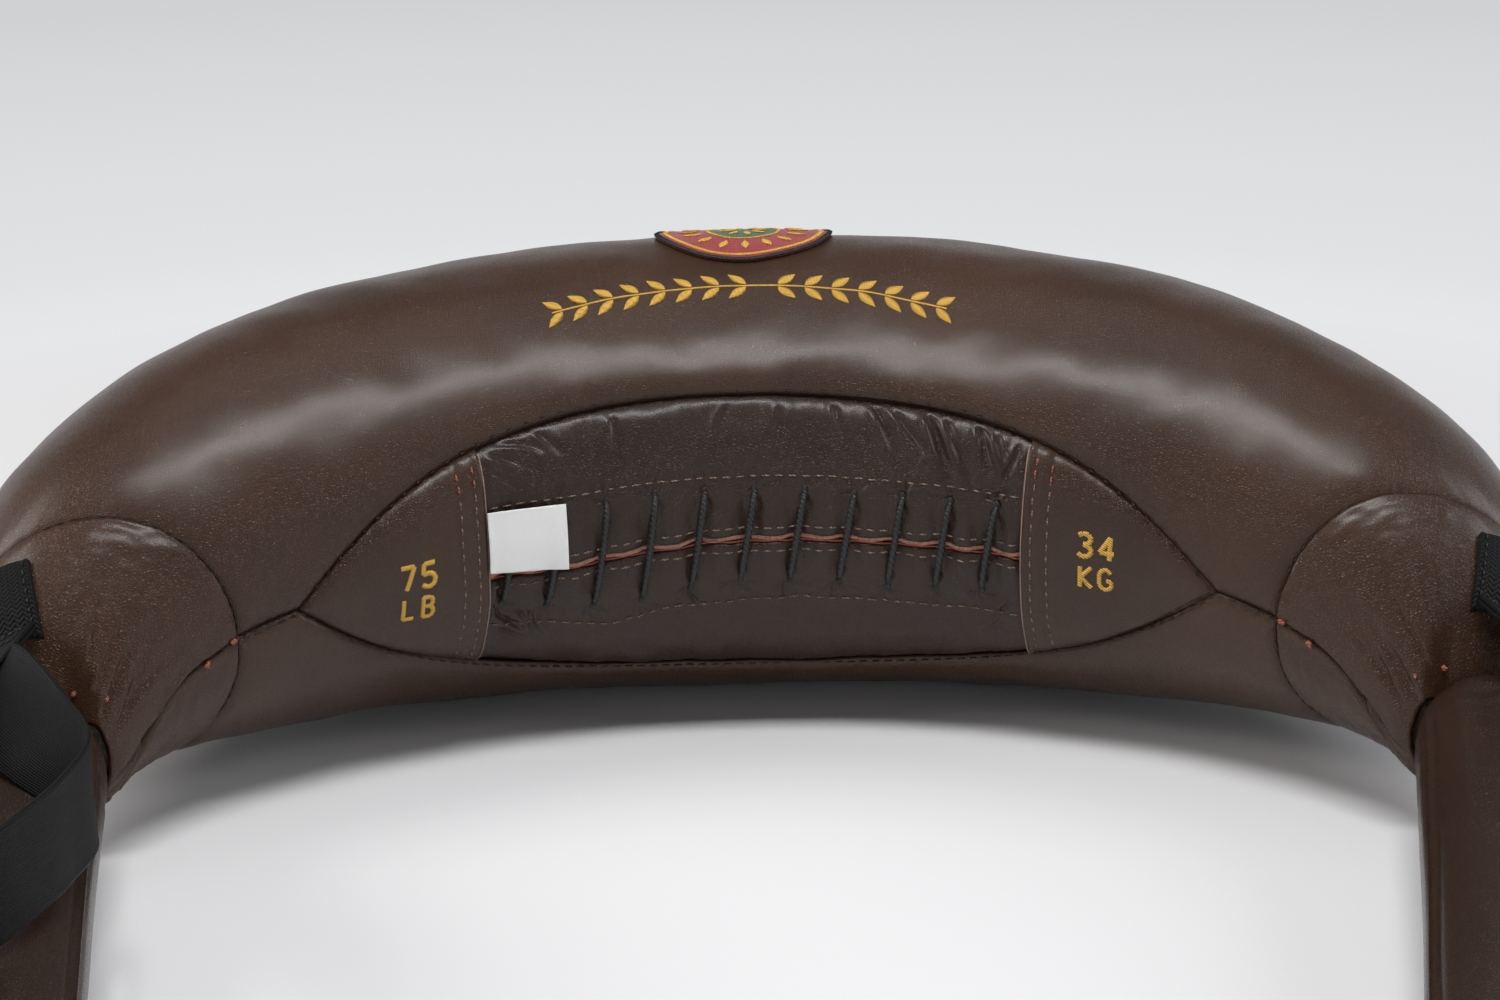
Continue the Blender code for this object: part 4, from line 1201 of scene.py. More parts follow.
def ring_of_threads(low, high, lift, pitch=BADGE_PITCH):
    """Threads that cross a ring of the badge from its inner to its outer edge."""
    count = round(2 * math.pi * (low + high) / 2 / pitch)
    for number in range(count):
        angle = (number + 0.15 * math.sin(number * 2.3)) / count * 2 * math.pi
        yield thread_between(on_badge(low, angle, lift), on_badge(high, angle, lift))


strands("badge_overlocked_edge",
        ring_of_threads(BADGE_RADIUS - BORDER_WIDTH, BADGE_RADIUS, BORDER_LIFT, BORDER_PITCH),
        BORDER_STRAND, BLACK_THREAD, "badge")
strands("badge_gold_rings",
        [thread for low, high in BADGE_RINGS
         for thread in ring_of_threads(low, high, BADGE_THICK + RING_LIFT)],
        BADGE_STRAND, GOLD_THREAD, "badge")


def badge_leaves(count, away, first, length, width):
    """Threads across a ring of pointed leaves that stand outwards on the badge."""
    rows = round(length / BADGE_PITCH)
    for leaf in range(count):
        angle = leaf * 2 * math.pi / count + first
        for number in range(1, rows):
            share = number / rows
            radius = away + length * (share - 0.5)
            bend = width / 2 * math.sin(math.pi * share) / radius
            yield thread_between(on_badge(radius, angle - bend, BADGE_THICK + LEAVES_LIFT),
                                 on_badge(radius, angle + bend, BADGE_THICK + LEAVES_LIFT))


strands("badge_gold_leaves", [*badge_leaves(16, 0.0285, 0.0, 0.0105, 0.0052),
                              *badge_leaves(8, 0.0092, 0.2, 0.0085, 0.0042)],
        BADGE_STRAND, GOLD_THREAD, "badge")


# Machine embroidery in gold straight on the leather: a low arch of leaves on the top panel,
# and on each wing the weight in pounds and in kilograms, in plain figures.
SATIN_PITCH = 0.00055
SATIN_THICK = 0.00075
GARLAND_TURN = math.radians(20)
GARLAND_LEAN = math.radians(60)
GARLAND_RISE = math.radians(5)
LEAF_LENGTH = 0.0135
LEAF_WIDTH = 0.0066
LEAF_PAIRS = 15
LINE_LIFT = 0.00015
LEAF_LIFT = 0.0002


def satin_line(points, width, surface):
    """Threads laid close together across a line of flat (x, y) points on a surface."""
    for start, stop in zip(points, points[1:]):
        leg = (stop - start).length
        count = max(1, round(leg / SATIN_PITCH))
        across = Vector((-(stop - start).y, (stop - start).x)).normalized() * width / 2
        for number in range(count):
            middle = start.lerp(stop, (number + 0.5) / count)
            yield thread_between(surface(middle - across, LINE_LIFT),
                                 surface(middle + across, LINE_LIFT))


def satin_leaf(root, tip, width, surface):
    """Threads across a pointed leaf from root to tip."""
    count = max(2, round((tip - root).length / SATIN_PITCH))
    across = Vector((-(tip - root).y, (tip - root).x)).normalized()
    for number in range(1, count):
        share = number / count
        half = width / 2 * math.sin(math.pi * share ** 0.85)
        middle = root.lerp(tip, share)
        yield thread_between(surface(middle - across * half, LEAF_LIFT),
                             surface(middle + across * half, LEAF_LIFT))


def top_surface(flat, lift):
    """The top panel rolled out: x along the crescent and y up round its section."""
    lean = flat.y / BODY_RADIUS
    turn = flat.x / crown_length(lean)
    height = hide_height(turn, lean, top_gaps)
    return skin(slanted(turn, lean), lean, -height - lift), outward(turn, lean)


def garland():
    """A stem with pairs of leaves that point away from its middle."""
    def flat_place(share):
        turn = mix(-GARLAND_TURN, GARLAND_TURN, share)
        lean = GARLAND_LEAN + GARLAND_RISE * (1 - (turn / GARLAND_TURN) ** 2)
        return Vector((turn * crown_length(lean), lean * BODY_RADIUS))

    yield from satin_line([flat_place(share) for share in steps(0, 1, 60)], 0.0015, top_surface)
    for number in range(LEAF_PAIRS):
        share = (number + 0.5) / LEAF_PAIRS
        root = flat_place(share)
        way = (flat_place(share + 0.01) - root).normalized() * (1 if share > 0.5 else -1)
        rise = Vector((-way.y, way.x))
        for turned in (0.75, -0.75):
            tip = root + (way * math.cos(turned) + rise * math.sin(turned)) * LEAF_LENGTH
            yield from satin_leaf(root + (tip - root) * 0.12, tip, LEAF_WIDTH, top_surface)


strands("gold_garland", list(garland()), SATIN_THICK, GOLD_THREAD, "leather")


# Strokes of the few signs, in units of their height, x to the right and y up.
SIGNS = {
    "7": (((0.0, 1.0), (0.58, 1.0), (0.22, 0.0)),),
    "5": (((0.56, 1.0), (0.08, 1.0), (0.03, 0.55), (0.32, 0.60), (0.54, 0.45), (0.56, 0.25),
           (0.42, 0.04), (0.18, 0.0), (0.0, 0.12)),),
    "3": (((0.02, 0.90), (0.18, 1.0), (0.42, 0.98), (0.54, 0.80), (0.44, 0.58), (0.22, 0.53),
           (0.46, 0.46), (0.58, 0.26), (0.44, 0.04), (0.18, 0.0), (0.0, 0.12)),),
    "4": (((0.42, 0.0), (0.42, 1.0), (0.0, 0.30), (0.60, 0.30)),),
    "L": (((0.05, 1.0), (0.05, 0.0), (0.55, 0.0)),),
    "B": (((0.05, 0.0), (0.05, 1.0), (0.40, 1.0), (0.52, 0.78), (0.40, 0.55), (0.05, 0.53)),
          ((0.40, 0.55), (0.56, 0.30), (0.42, 0.0), (0.05, 0.0))),
    "K": (((0.05, 0.0), (0.05, 1.0)), ((0.55, 1.0), (0.08, 0.48), (0.58, 0.0))),
    "G": (((0.56, 0.84), (0.40, 1.0), (0.18, 1.0), (0.02, 0.76), (0.02, 0.24), (0.18, 0.0),
           (0.42, 0.0), (0.58, 0.16), (0.58, 0.44), (0.34, 0.44)),)}


def words(text, middle, height, surface, stroke):
    """Satin threads of a word centred on a flat place."""
    step = height * 0.92
    for number, sign in enumerate(text):
        corner = middle + Vector(((number - (len(text) - 1) / 2) * step - height * 0.29,
                                  -height / 2))
        for line in SIGNS[sign]:
            points = [corner + Vector(point) * height for point in line]
            yield from satin_line(points, stroke, surface)


def wing_surface(side, height_at):
    """A wing rolled out round the middle of its marks."""
    middle = side * math.radians(42)
    level = math.radians(-2.5 if side > 0 else -7)

    def surface(flat, lift):
        turn = middle + flat.x / (SPAN_HALF - BODY_RADIUS * 0.9)
        lean = level + flat.y / BODY_RADIUS
        return laid(turn, lean, -height_at(turn, lean) - lift)
    return surface


for side, number, unit in ((-1, "75", "LB"), (1, "34", "KG")):
    surface = wing_surface(side, wing_heights[side])
    strands(f"gold_weight_{unit.lower()}",
            [*words(number, Vector((0, 0.0085)), 0.0128, surface, 0.0034),
             *words(unit, Vector((0, -0.0095)), 0.0116, surface, 0.0031)],
            SATIN_THICK, GOLD_THREAD, "leather")


# The tips: two panels at each end that narrow to the mouth that the arm is sewn into, in a
# coarser part of the hide. They bulge over the arm's root and gather at the mouth.
TIP_CELLS = (90, 110)
MOUTH_BULGE = 0.0085
MOUTH_BULGE_RISE = 0.0045
MOUTH_BULGE_WIDTH = 0.019
MOUTH_FOLD = 0.0046
MOUTH_FOLD_REACH = 0.026
MOUTH_CUFF = 0.0045
MOUTH_CUFF_WIDTH = 0.008
MOUTH_LIP = 0.0042
MOUTH_LIP_WIDTH = 0.005
MOUTH_ROUGH = 0.0005
RIDGE = 0.0017
RIDGE_WIDTH = 0.0016
RIDGE_PLACE = 0.0022
RIDGE_START = math.radians(3)
STRAP_WIDTH = 0.045
STRAP_THICKNESS = 0.0018
BAND_START_LEAN = math.radians(129)
BAND_END_LEAN = math.radians(120)
BAND_END_TURN = math.radians(85.3)
BAND_SEAM_GAP = 0.0015
BAND_CLEAR = 0.0006
BAND_PRESS_REACH = 0.027
BAND_BESIDE = 0.006
BAND_EASE = 0.012


def band_lean(turn):
    share = (abs(turn) - TIP_SEAM_TURN) / (BAND_END_TURN - TIP_SEAM_TURN)
    return mix(BAND_START_LEAN, BAND_END_LEAN, share)


def round_angle(angle):
    """An angle brought between minus and plus half a turn."""
    return math.remainder(angle, 2 * math.pi)


def under_band(turn, lean):
    """1 under the webbing that is sewn on the tip, 0 well beside it."""
    beside = abs(round_angle(lean - band_lean(turn))) * section_radius(turn) - STRAP_WIDTH / 2
    return 1 - smooth((beside - BAND_BESIDE) / BAND_EASE)


def to_mouth(turn):
    """Distance along a tip's leather to the mouth."""
    return math.hypot((MOUTH_TURN - abs(turn)) * CURVE_DEPTH, section_radius(turn) - MOUTH_RADIUS)


def tip_extra(turn, lean):
    """The bulge over the arm's root, its folds, and the raised edges of the inner seam."""
    away = to_mouth(turn)
    inner = mouth_share(turn, lean)
    rise = 1 - math.exp(-away / MOUTH_BULGE_RISE)
    height = MOUTH_BULGE * inner * rise * math.exp(-away / MOUTH_BULGE_WIDTH)
    height += MOUTH_LIP * inner * math.exp(-away / MOUTH_LIP_WIDTH)
    sway = noise.noise(Vector((lean * 2.4, away * 25, turn)))
    folds = noise.noise(Vector((lean * 3.4 + sway * 0.5, away * 14, abs(turn) + 3.3)))
    folds = 1 - abs(folds) * 4.5
    sharp = smooth(folds) * (1 - 0.8 * smooth((lean - math.radians(100)) / 0.5))
    height -= MOUTH_FOLD * inner * sharp * rise * math.exp(-(away / MOUTH_FOLD_REACH) ** 2)
    height += MOUTH_ROUGH * noise.noise(Vector((turn * 60, lean * 7, 2))) * inner
    height *= 1 - 0.95 * under_band(slanted(turn, lean), lean)
    gap = abs(lean - tip_seam(turn)) * section_radius(turn)
    strong = smooth((abs(turn) - TIP_SEAM_TURN) / RIDGE_START)
    return height + strong * RIDGE * math.exp(-((gap - RIDGE_PLACE) / RIDGE_WIDTH) ** 2)


def mouth_share(turn, lean):
    """1 on the inner part of the mouth, less below and outside, none by the webbing."""
    part = 0.25 + 0.75 * smooth(0.62 + 0.6 * math.cos(lean - math.radians(22)))
    return part * (1 - 0.98 * under_band(slanted(turn, lean), lean))


def mouth_ahead(turn, lean):
    """The tip is drawn a little over the arm's root, like a cuff."""
    return MOUTH_CUFF * mouth_share(turn, lean) * math.exp(-to_mouth(turn) / MOUTH_CUFF_WIDTH)


def webbing_presses(turn, lean):
    """1 under the end of the sewn webbing, next to the mouth, and 0 away from it."""
    near = math.exp(-(to_mouth(turn) / BAND_PRESS_REACH) ** 4)
    return under_band(slanted(turn, lean), lean) * near


TIP_LOOKS = {"extra": tip_extra, "pressed": webbing_presses, "sink": 0.0016, "puckers": 0.0004}


def tip_gaps(turn, lean):
    radius = section_radius(turn)
    walk = turn * SPAN_HALF
    return ((abs(lean - tip_seam(turn)) * radius, walk),
            (abs(math.pi - abs(lean)) * radius, walk + 5),
            ((abs(turn) - TIP_SEAM_TURN) * TIP_SEAM_ARM, lean * radius + 2))


def tip_panels(side, word):
    wide = section_radius(TIP_SEAM_TURN + SEAM_GAP / CURVE_DEPTH)

    def turn_at(across):
        return side * turn_of_radius(mix(wide, MOUTH_RADIUS, across))

    for level, leans in (("upper", between(tip_seam, back_seam)),
                         ("lower", between(back_seam_below, tip_seam))):
        tip = panel(f"{word}_tip_{level}_leather", turn_at, leans, TIP_CELLS, tip_gaps,
                    COARSE_HIDE, ahead=mouth_ahead, **TIP_LOOKS)
        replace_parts(tip, f"{word}_tip_{level}_panel")


for side, word in SIDES:
    tip_panels(side, word)


KNOT_RADIUS = 0.0019


def knots(name, places):
    """Small copper knots where a seam's thread was tied off, each with a short tail."""
    made = bmesh.new()
    for number, (spot, out, way) in enumerate(places):
        side = out.cross(way).normalized()
        for shift, long, wide in ((0, 1.0, 0.7), (1.1, 0.9, 0.5), (-0.9, 0.6, 0.5)):
            turn = Matrix.Rotation(0.7 * shift + number, 3, out)
            bead(made, spot + way * shift * KNOT_RADIUS + out * KNOT_RADIUS * 0.3,
                 (turn @ way * KNOT_RADIUS * long, turn @ side * KNOT_RADIUS * wide,
                  out * KNOT_RADIUS * 0.6), rounds=2)
    return show(name, made, COPPER_THREAD, "bag", "leather", recalculate=True)


def tip_spot(turn, lean):
    height = hide_height(turn, lean, tip_gaps, **TIP_LOOKS)
    return skin(slanted(turn, lean), lean, -height), outward(turn, lean), along(turn)


for side, word in SIDES:
    knots(word + "_locked_thread",
          [tip_spot(side * math.radians(75.6), SEAM_LEAN + as_lean(0.0006)),
           tip_spot(side * math.radians(79.0), SEAM_LEAN - as_lean(0.003)),
           tip_spot(side * (MOUTH_TURN - math.radians(0.55)), math.radians(38)),
           tip_spot(side * (MOUTH_TURN - math.radians(0.65)), math.radians(58))])


# The arms: stuffed leather grips, each one hide closed by a raised seam along its inner side,
# with a round root that turns in the mouth, gathered folds there, and a sewn-on end cap.
ARM_ROOT_RADIUS = 0.033
ARM_END_RADIUS = 0.028
ARM_LENGTH = 0.250
ARM_TOE_IN = {-1: math.radians(9.2), 1: math.radians(15.6)}
ARM_FLOOR_GAP = 0.0003
ARM_HOLE_RADIUS = 0.012
ARM_CAP_DOME = 0.003
ARM_CELLS = (112, 130)
ARM_SEAM_RISE = math.radians(24)
ARM_FOLD = 0.0017
ARM_DENT = 0.0026
ARM_FOLD_REACH = 0.035
ARM_CROSS_FOLD = 0.0007
ARM_CROSS_REACH = 0.05
ARM_RIDGE = 0.0019
ARM_RIDGE_WIDTH = 0.0015
ARM_GROOVE = 0.0010
ARM_GROOVE_PLACE = 0.0042
ARM_GROOVE_WIDTH = 0.0020
ARM_END_SINK = 0.0009
ARM_END_WIDTH = 0.004
ARM_ROOT_FREE = 0.004
ARM_ROOT_EASE = 0.014
ARM_CAP_RADIUS = ARM_END_RADIUS - 0.0006
ARM_CAP_PUCKER = 0.0006


def mouth_to_pivot():
    rim = MOUTH_RADIUS - LEATHER
    return math.sqrt((ARM_ROOT_RADIUS + LACE_CLEAR) ** 2 - rim ** 2)


def arm_dip():
    height = centre(MOUTH_TURN).z - ARM_FLOOR_GAP
    length = ARM_LENGTH + LEATHER + SEAM_GAP
    slant = math.hypot(length, ARM_END_RADIUS)
    return math.asin(height / slant) - math.atan(ARM_END_RADIUS / length)


def arm_place(side):
    """Matrix that points +Z from the pivot along the arm, with +X downwards."""
    dip = arm_dip()
    toe_in = ARM_TOE_IN[side]
    way = Vector((-side * math.sin(toe_in) * math.cos(dip),
                  -math.cos(toe_in) * math.cos(dip), -math.sin(dip)))
    across = way.cross(UP).normalized()
    down = way.cross(across)
    if down.z > 0:
        down.negate()
    pivot = centre(side * MOUTH_TURN) + along(side * MOUTH_TURN) * side * mouth_to_pivot()
    return Matrix.Translation(pivot) @ Matrix((down, way.cross(down), way)).transposed().to_4x4()


def arm_seam_angle(side):
    """Where the raised seam runs round the arm: on its inner side, a little above middle."""
    inwards = Vector((-side * math.cos(ARM_SEAM_RISE), 0, math.sin(ARM_SEAM_RISE)))
    local = arm_place(side).to_3x3().inverted() @ inwards
    return math.atan2(local.y, local.x)


ROOT_ARC = ARM_ROOT_RADIUS * (math.pi / 2 - math.asin(ARM_HOLE_RADIUS / ARM_ROOT_RADIUS))


def arm_profile(share):
    """Radius, height and slope of the cover from its hole to its end, and the way walked
    past the widest part of the root."""
    walk = share * (ROOT_ARC + ARM_LENGTH) - ROOT_ARC
    if walk < 0:
        angle = math.pi / 2 + walk / ARM_ROOT_RADIUS
        return (ARM_ROOT_RADIUS * math.sin(angle), -ARM_ROOT_RADIUS * math.cos(angle),
                angle - math.pi / 2, walk)
    return mix(ARM_ROOT_RADIUS, ARM_END_RADIUS, walk / ARM_LENGTH), walk, 0.0, walk


def arm_height(side, angle, walk):
    """Folds at the root, soft dents along the grip, and the seam's raised edge."""
    free = smooth((walk + ARM_ROOT_FREE) / ARM_ROOT_EASE)
    around = round_angle(angle - arm_seam_angle(side)) * ARM_ROOT_RADIUS
    turning = Vector((math.cos(angle), math.sin(angle), 0)) * ARM_ROOT_RADIUS
    height = ARM_DENT * noise.noise(turning * 14 + UP * (walk * 9 + side * 4))
    lengthwise = noise.noise(turning * 95 + UP * (walk * 9 + side))
    height += ARM_FOLD * lengthwise * (0.25 + math.exp(-max(walk, 0) / ARM_FOLD_REACH))
    crosswise = noise.noise(turning * 22 + UP * (walk * 120 + side))
    height += ARM_CROSS_FOLD * crosswise * math.exp(-max(walk, 0) / ARM_CROSS_REACH)
    height += ARM_RIDGE * math.exp(-(around / ARM_RIDGE_WIDTH) ** 2)
    height -= ARM_GROOVE * math.exp(-((abs(around) - ARM_GROOVE_PLACE) / ARM_GROOVE_WIDTH) ** 2)
    return height * free - ARM_END_SINK * math.exp(-(ARM_LENGTH - walk) / ARM_END_WIDTH)


def arm_cover(side, word):
    frame_of = arm_place(side)

    def round_place(radius, angle, rise, floor_gap):
        there = frame_of @ Vector((radius * math.cos(angle), radius * math.sin(angle), rise))
        there.z = max(there.z, floor_gap)
        return there

    def cover_place(across, up, inwards):
        angle = across * 2 * math.pi
        radius, rise, slope, walk = arm_profile(up)
        out = arm_height(side, angle, walk) - inwards
        return round_place(radius + out * math.cos(slope), angle,
                           rise + out * math.sin(slope), ARM_FLOOR_GAP / 2 + inwards)

    def cap_place(away, angle, lift):
        share = away / ARM_CAP_RADIUS
        dome = LEATHER + ARM_CAP_DOME * (1 - share ** 3)
        pucker = ARM_CAP_PUCKER * math.cos(22 * angle + 2 * math.sin(3 * angle)) * share ** 6
        return round_place(away, angle, ARM_LENGTH + SEAM_GAP + (dome + pucker) * lift,
                           ARM_FLOOR_GAP / 2)

    cover = show(word + "_arm_leather",
                 leather_sheet(ARM_CELLS, cover_place, 0, LEATHER, wrap=True),
                 SOFT_AND_SHADED_HIDE, word + "_arm", "leather")
    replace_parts(cover, word + "_arm_cover")
    cap = show(word + "_arm_end_leather", disc_sheet((72, 16), ARM_CAP_RADIUS, cap_place, 1, 0),
               COARSE_HIDE, word + "_arm", "leather")
    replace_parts(cap, word + "_arm_cap")


for side, word in SIDES:
    arm_cover(side, word)


# The straps: black nylon webbing. A coarse piece is sewn flat on each tip; a doubled tab
# hangs from its end and holds the two ends of a smooth hand loop that lies on the floor.
STRAP_HINGE_GAP = 0.0004
TAB_CUT_BACK = 0.0026
TAB_LENGTH = 0.020
TAB_ROLL = math.radians(28)
LOOP_REACH = 0.215
SLOPE_STEP = 0.004
SELVAGE = 0.0026
SELVAGE_ROUND = 0.0006
BAND_STRETCH = 1.28
BAND_ROWS = (0.085, 0.915)
BAND_ROW_LIFT = 0.0001
BAND_LIFT_SHARE = 0.25
STRAP_STITCH = 0.0009
WALK_STEPS = 240


def bands(tree, uv, lengthwise, crosswise):
    """Bands over a UV map in metres, as many per metre each way as given, from 0 to 1."""
    walk = add(tree, "VectorMath", operation="DOT_PRODUCT", in0=uv,
               in1=(lengthwise * 2 * math.pi, crosswise * 2 * math.pi, 0)).outputs["Value"]
    wave = add(tree, "Math", operation="SINE", in0=walk).outputs[0]
    return add(tree, "Math", operation="MULTIPLY_ADD", in0=wave, in1=0.5, in2=0.5).outputs[0]


def nylon_webbing(name, coarse):
    """Woven nylon: coarse webbing has a herringbone of 2 mm rows, smooth webbing fine ribs."""
    made, tree, _ = new_finish(name)
    uv = add(tree, "TexCoord").outputs["UV"]
    spot = add(tree, "TexCoord").outputs["Object"]
    if coarse:
        split = add(tree, "SeparateXYZ", in0=uv).outputs
        fold = add(tree, "Math", operation="PINGPONG", in0=split["Y"], in1=0.0023).outputs[0]
        bent = add(tree, "CombineXYZ", X=split["X"], Y=fold).outputs[0]
        slants = bands(tree, bent, 720, 420)
        rows = bands(tree, uv, 0, 1 / 0.0023)
        weave = add(tree, "Math", operation="MULTIPLY_ADD", in0=rows, in1=0.45,
                    in2=slants).outputs[0]
    else:
        ribs = bands(tree, uv, 0, 1 / 0.0011)
        picks = bands(tree, uv, 1 / 0.0013, 0)
        weave = add(tree, "Math", operation="MULTIPLY_ADD", in0=picks, in1=0.35,
                    in2=ribs).outputs[0]
    fluff = add(tree, "TexNoise", Vector=spot, Scale=1200, Detail=3)
    weave = add(tree, "Math", operation="MULTIPLY_ADD", in0=fluff.outputs["Fac"], in1=0.35,
                in2=weave).outputs[0]
    stops = ((0.2, "#040404"), (1.5, "#101112" if coarse else "#0c0d0e"))
    return surfaced(made, weave, stops, 0.9 if coarse else 0.55, 0.0006, Roughness=0.62,
                    Specular_IOR_Level=0.22)


COARSE_WEBBING = nylon_webbing("herringbone_nylon_webbing", True)
SMOOTH_WEBBING = nylon_webbing("ribbed_nylon_webbing", False)
STRAP_THREAD = spun_thread("black_nylon_thread", "#0b0b0c", "#26272a")


def selvage(up):
    """Webbing is thicker along its two woven edges and rounded at the very edge."""
    from_edge = min(up, 1 - up) * STRAP_WIDTH
    thicker = 0.35 * math.exp(-((from_edge - SELVAGE / 2) / (SELVAGE / 2)) ** 2)
    return 1 + thicker - 0.55 * math.exp(-from_edge / SELVAGE_ROUND)


def strap_band(side, word):
    start = TIP_SEAM_TURN + TIP_SEAM_SKEW + BAND_SEAM_GAP / CURVE_DEPTH

    def place(across, up, lift):
        turn = side * mix(start, BAND_END_TURN, across)
        half = as_lean(STRAP_WIDTH, turn) / 2
        lean = band_lean(turn) + half * (2 * up - 1)
        there = unslanted(turn, lean)
        height = max(0, hide_height(there, lean, tip_gaps, **TIP_LOOKS))
        height = height * smooth((1 - across) / BAND_LIFT_SHARE) + BAND_CLEAR * (1 - across)
        thick = lift * STRAP_THICKNESS * (selvage(up) if lift else 1)
        return skin(turn, lean, -height - SEAM_GAP - thick)

    length = (BAND_END_TURN - start) * CURVE_DEPTH * BAND_STRETCH
    band = show(word + "_sewn_webbing",
                leather_sheet((56, 40), place, 1, 0, size=(length, STRAP_WIDTH)),
                COARSE_WEBBING, "bag", "webbing")
    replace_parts(band, word + "_strap_band")
    for number, up in enumerate(BAND_ROWS):
        route = [(place(share, up, 1) + UP * BAND_ROW_LIFT,
                  outward(side * mix(start, BAND_END_TURN, share), BAND_END_LEAN))
                 for share in steps(0, 1, 30)]
        stitches(f"{word}_sewn_webbing_row_{number + 1}", route, STRAP_THREAD, "bag", "webbing",
                 length=0.0034, pitch=0.0043, thick=STRAP_STITCH, sunk=0.1)


def strap_frame(side):
    """Middle of the sewn band's end, and the ways forward and outward from it."""
    turn = side * BAND_END_TURN
    middle = skin(turn, BAND_END_LEAN, -SEAM_GAP - STRAP_THICKNESS)
    forward = along(turn) * side
    return middle, forward, forward.cross(UP) * -side


def through(points, share):
    """Smooth curve through some points, by share of their number."""
    step = share * (len(points) - 1)
    first = min(max(int(math.floor(step)), 0), len(points) - 2)
    part = step - first
    one, two = points[first], points[first + 1]
    before = points[first - 1] if first > 0 else one * 2 - two
    after = points[first + 2] if first + 2 < len(points) else two * 2 - one
    return 0.5 * (one * 2 + (two - before) * part
                  + (before * 2 - one * 5 + two * 4 - after) * part ** 2
                  + (one * 3 - before - two * 3 + after) * part ** 3)


def ribbon_surface(stations, cut_back=0.0):
    """Middle surface of webbing through some stations, each a place and the direction of its
    width: gives place, way out of the face and way along at a share and a width from 0 to 1."""
    spots = [station[0] for station in stations]
    widths = [station[1] for station in stations]

    def surface(share, up):
        spot = through(spots, share)
        run = through(spots, share + SLOPE_STEP) - through(spots, share - SLOPE_STEP)
        run.normalize()
        width = through(widths, share)
        width = (width - run * width.dot(run)).normalized()
        face = run.cross(width).normalized()
        spot += run * cut_back * (1 - share) * (1 - up)
        return spot + width * STRAP_WIDTH * (up - 0.5), face, run
    return surface


def walked(surface):
    """Length along the middle of a ribbon surface."""
    places = [surface(share, 0.5)[0] for share in steps(0, 1, WALK_STEPS)]
    return sum((b - a).length for a, b in zip(places, places[1:]))


def webbing_strip(name, surface, cells, middle, body):
    """Smooth webbing along a ribbon surface, its own middle that far from it."""
    def place(across, up, lift):
        spot, face, _ = surface(across, up)
        return spot + face * (middle + lift * STRAP_THICKNESS / 2 * selvage(up))

    length = walked(surface)
    strip = show(name, leather_sheet(cells, place, 1, -1, size=(length, STRAP_WIDTH)),
                 SMOOTH_WEBBING, body, "webbing")
    return strip


# Places of the two hand loops: forward, outward and up from the tab's end as shares of the
# loop's reach, and the webbing's roll in right angles.
LOOP_SHARES = {-1: (
    (0.00, 0.000, 0.000, 0.31), (0.05, 0.000, 0.000, 0.31), (0.15, -0.079, 0.010, 0.36),
    (0.32, -0.225, -0.003, 0.58), (0.47, -0.378, -0.038, 0.98), (0.65, -0.391, -0.038, 1.00),
    (0.79, -0.371, -0.035, 1.00), (0.90, -0.329, -0.045, 1.00), (1.00, -0.241, -0.069, 1.00),
    (0.96, -0.134, -0.087, 1.00), (0.81, -0.056, -0.106, 0.98), (0.58, -0.001, -0.106, 0.90),
    (0.35, 0.025, -0.078, 0.70), (0.16, 0.014, -0.031, 0.45), (0.05, 0.000, 0.000, 0.31),
    (0.00, 0.000, 0.000, 0.31)), 1: (
    (0.00, 0.000, 0.000, 0.31), (0.05, 0.000, 0.000, 0.31), (0.16, -0.028, -0.064, 0.42),
    (0.30, -0.082, -0.129, 0.50), (0.46, -0.110, -0.194, 0.72), (0.62, -0.168, -0.245, 0.87),
    (0.76, -0.225, -0.292, 1.00), (0.87, -0.275, -0.334, 1.00), (0.93, -0.294, -0.348, 1.00),
    (0.97, -0.275, -0.352, 1.00), (0.94, -0.244, -0.348, 1.00), (0.87, -0.207, -0.334, 1.00),
    (0.74, -0.151, -0.287, 0.96), (0.58, -0.091, -0.213, 0.80), (0.40, -0.047, -0.129, 0.62),
    (0.20, -0.010, -0.055, 0.46), (0.05, 0.000, 0.000, 0.31), (0.00, 0.000, 0.000, 0.31))}


# A box of stitches with a cross in it holds the doubled tab: its lines' ends on the tab.
TAB_ROWS = (((0.15, 0.1), (0.88, 0.1)), ((0.88, 0.1), (0.88, 0.9)), ((0.88, 0.9), (0.15, 0.9)),
            ((0.15, 0.9), (0.15, 0.1)), ((0.15, 0.1), (0.88, 0.9)), None,
            ((0.15, 0.9), (0.88, 0.1)))


def strap_tab(middle, forward, flat, word):
    """The doubled webbing at a loop's start."""
    layer = STRAP_THICKNESS + SEAM_GAP
    start = middle + forward * STRAP_HINGE_GAP
    surface = ribbon_surface([(start, flat), (start + forward * TAB_LENGTH, flat)], TAB_CUT_BACK)
    for number, offset in enumerate((-layer / 2, layer / 2)):
        strip = webbing_strip(f"{word}_tab_layer_{number + 1}", surface, (20, 40), offset,
                              word + "_tab")
        if number:
            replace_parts(strip, word + "_strap_tab")
    upper_side = 1 if surface(0.5, 0.5)[1].z > 0 else -1
    lift = (layer / 2 + STRAP_THICKNESS / 2) * upper_side
    for number, row in enumerate(TAB_ROWS):
        if row is None:
            continue
        route = []
        for share in steps(0, 1, 12):
            spot, face, _ = surface(mix(row[0][0], row[1][0], share),
                                    mix(row[0][1], row[1][1], share))
            route.append((spot + face * lift, face * upper_side))
        stitches(f"{word}_tab_row_{number + 1}", route, STRAP_THREAD, word + "_tab", "webbing",
                 length=0.0030, pitch=0.0038, thick=STRAP_STITCH, sunk=0.1)


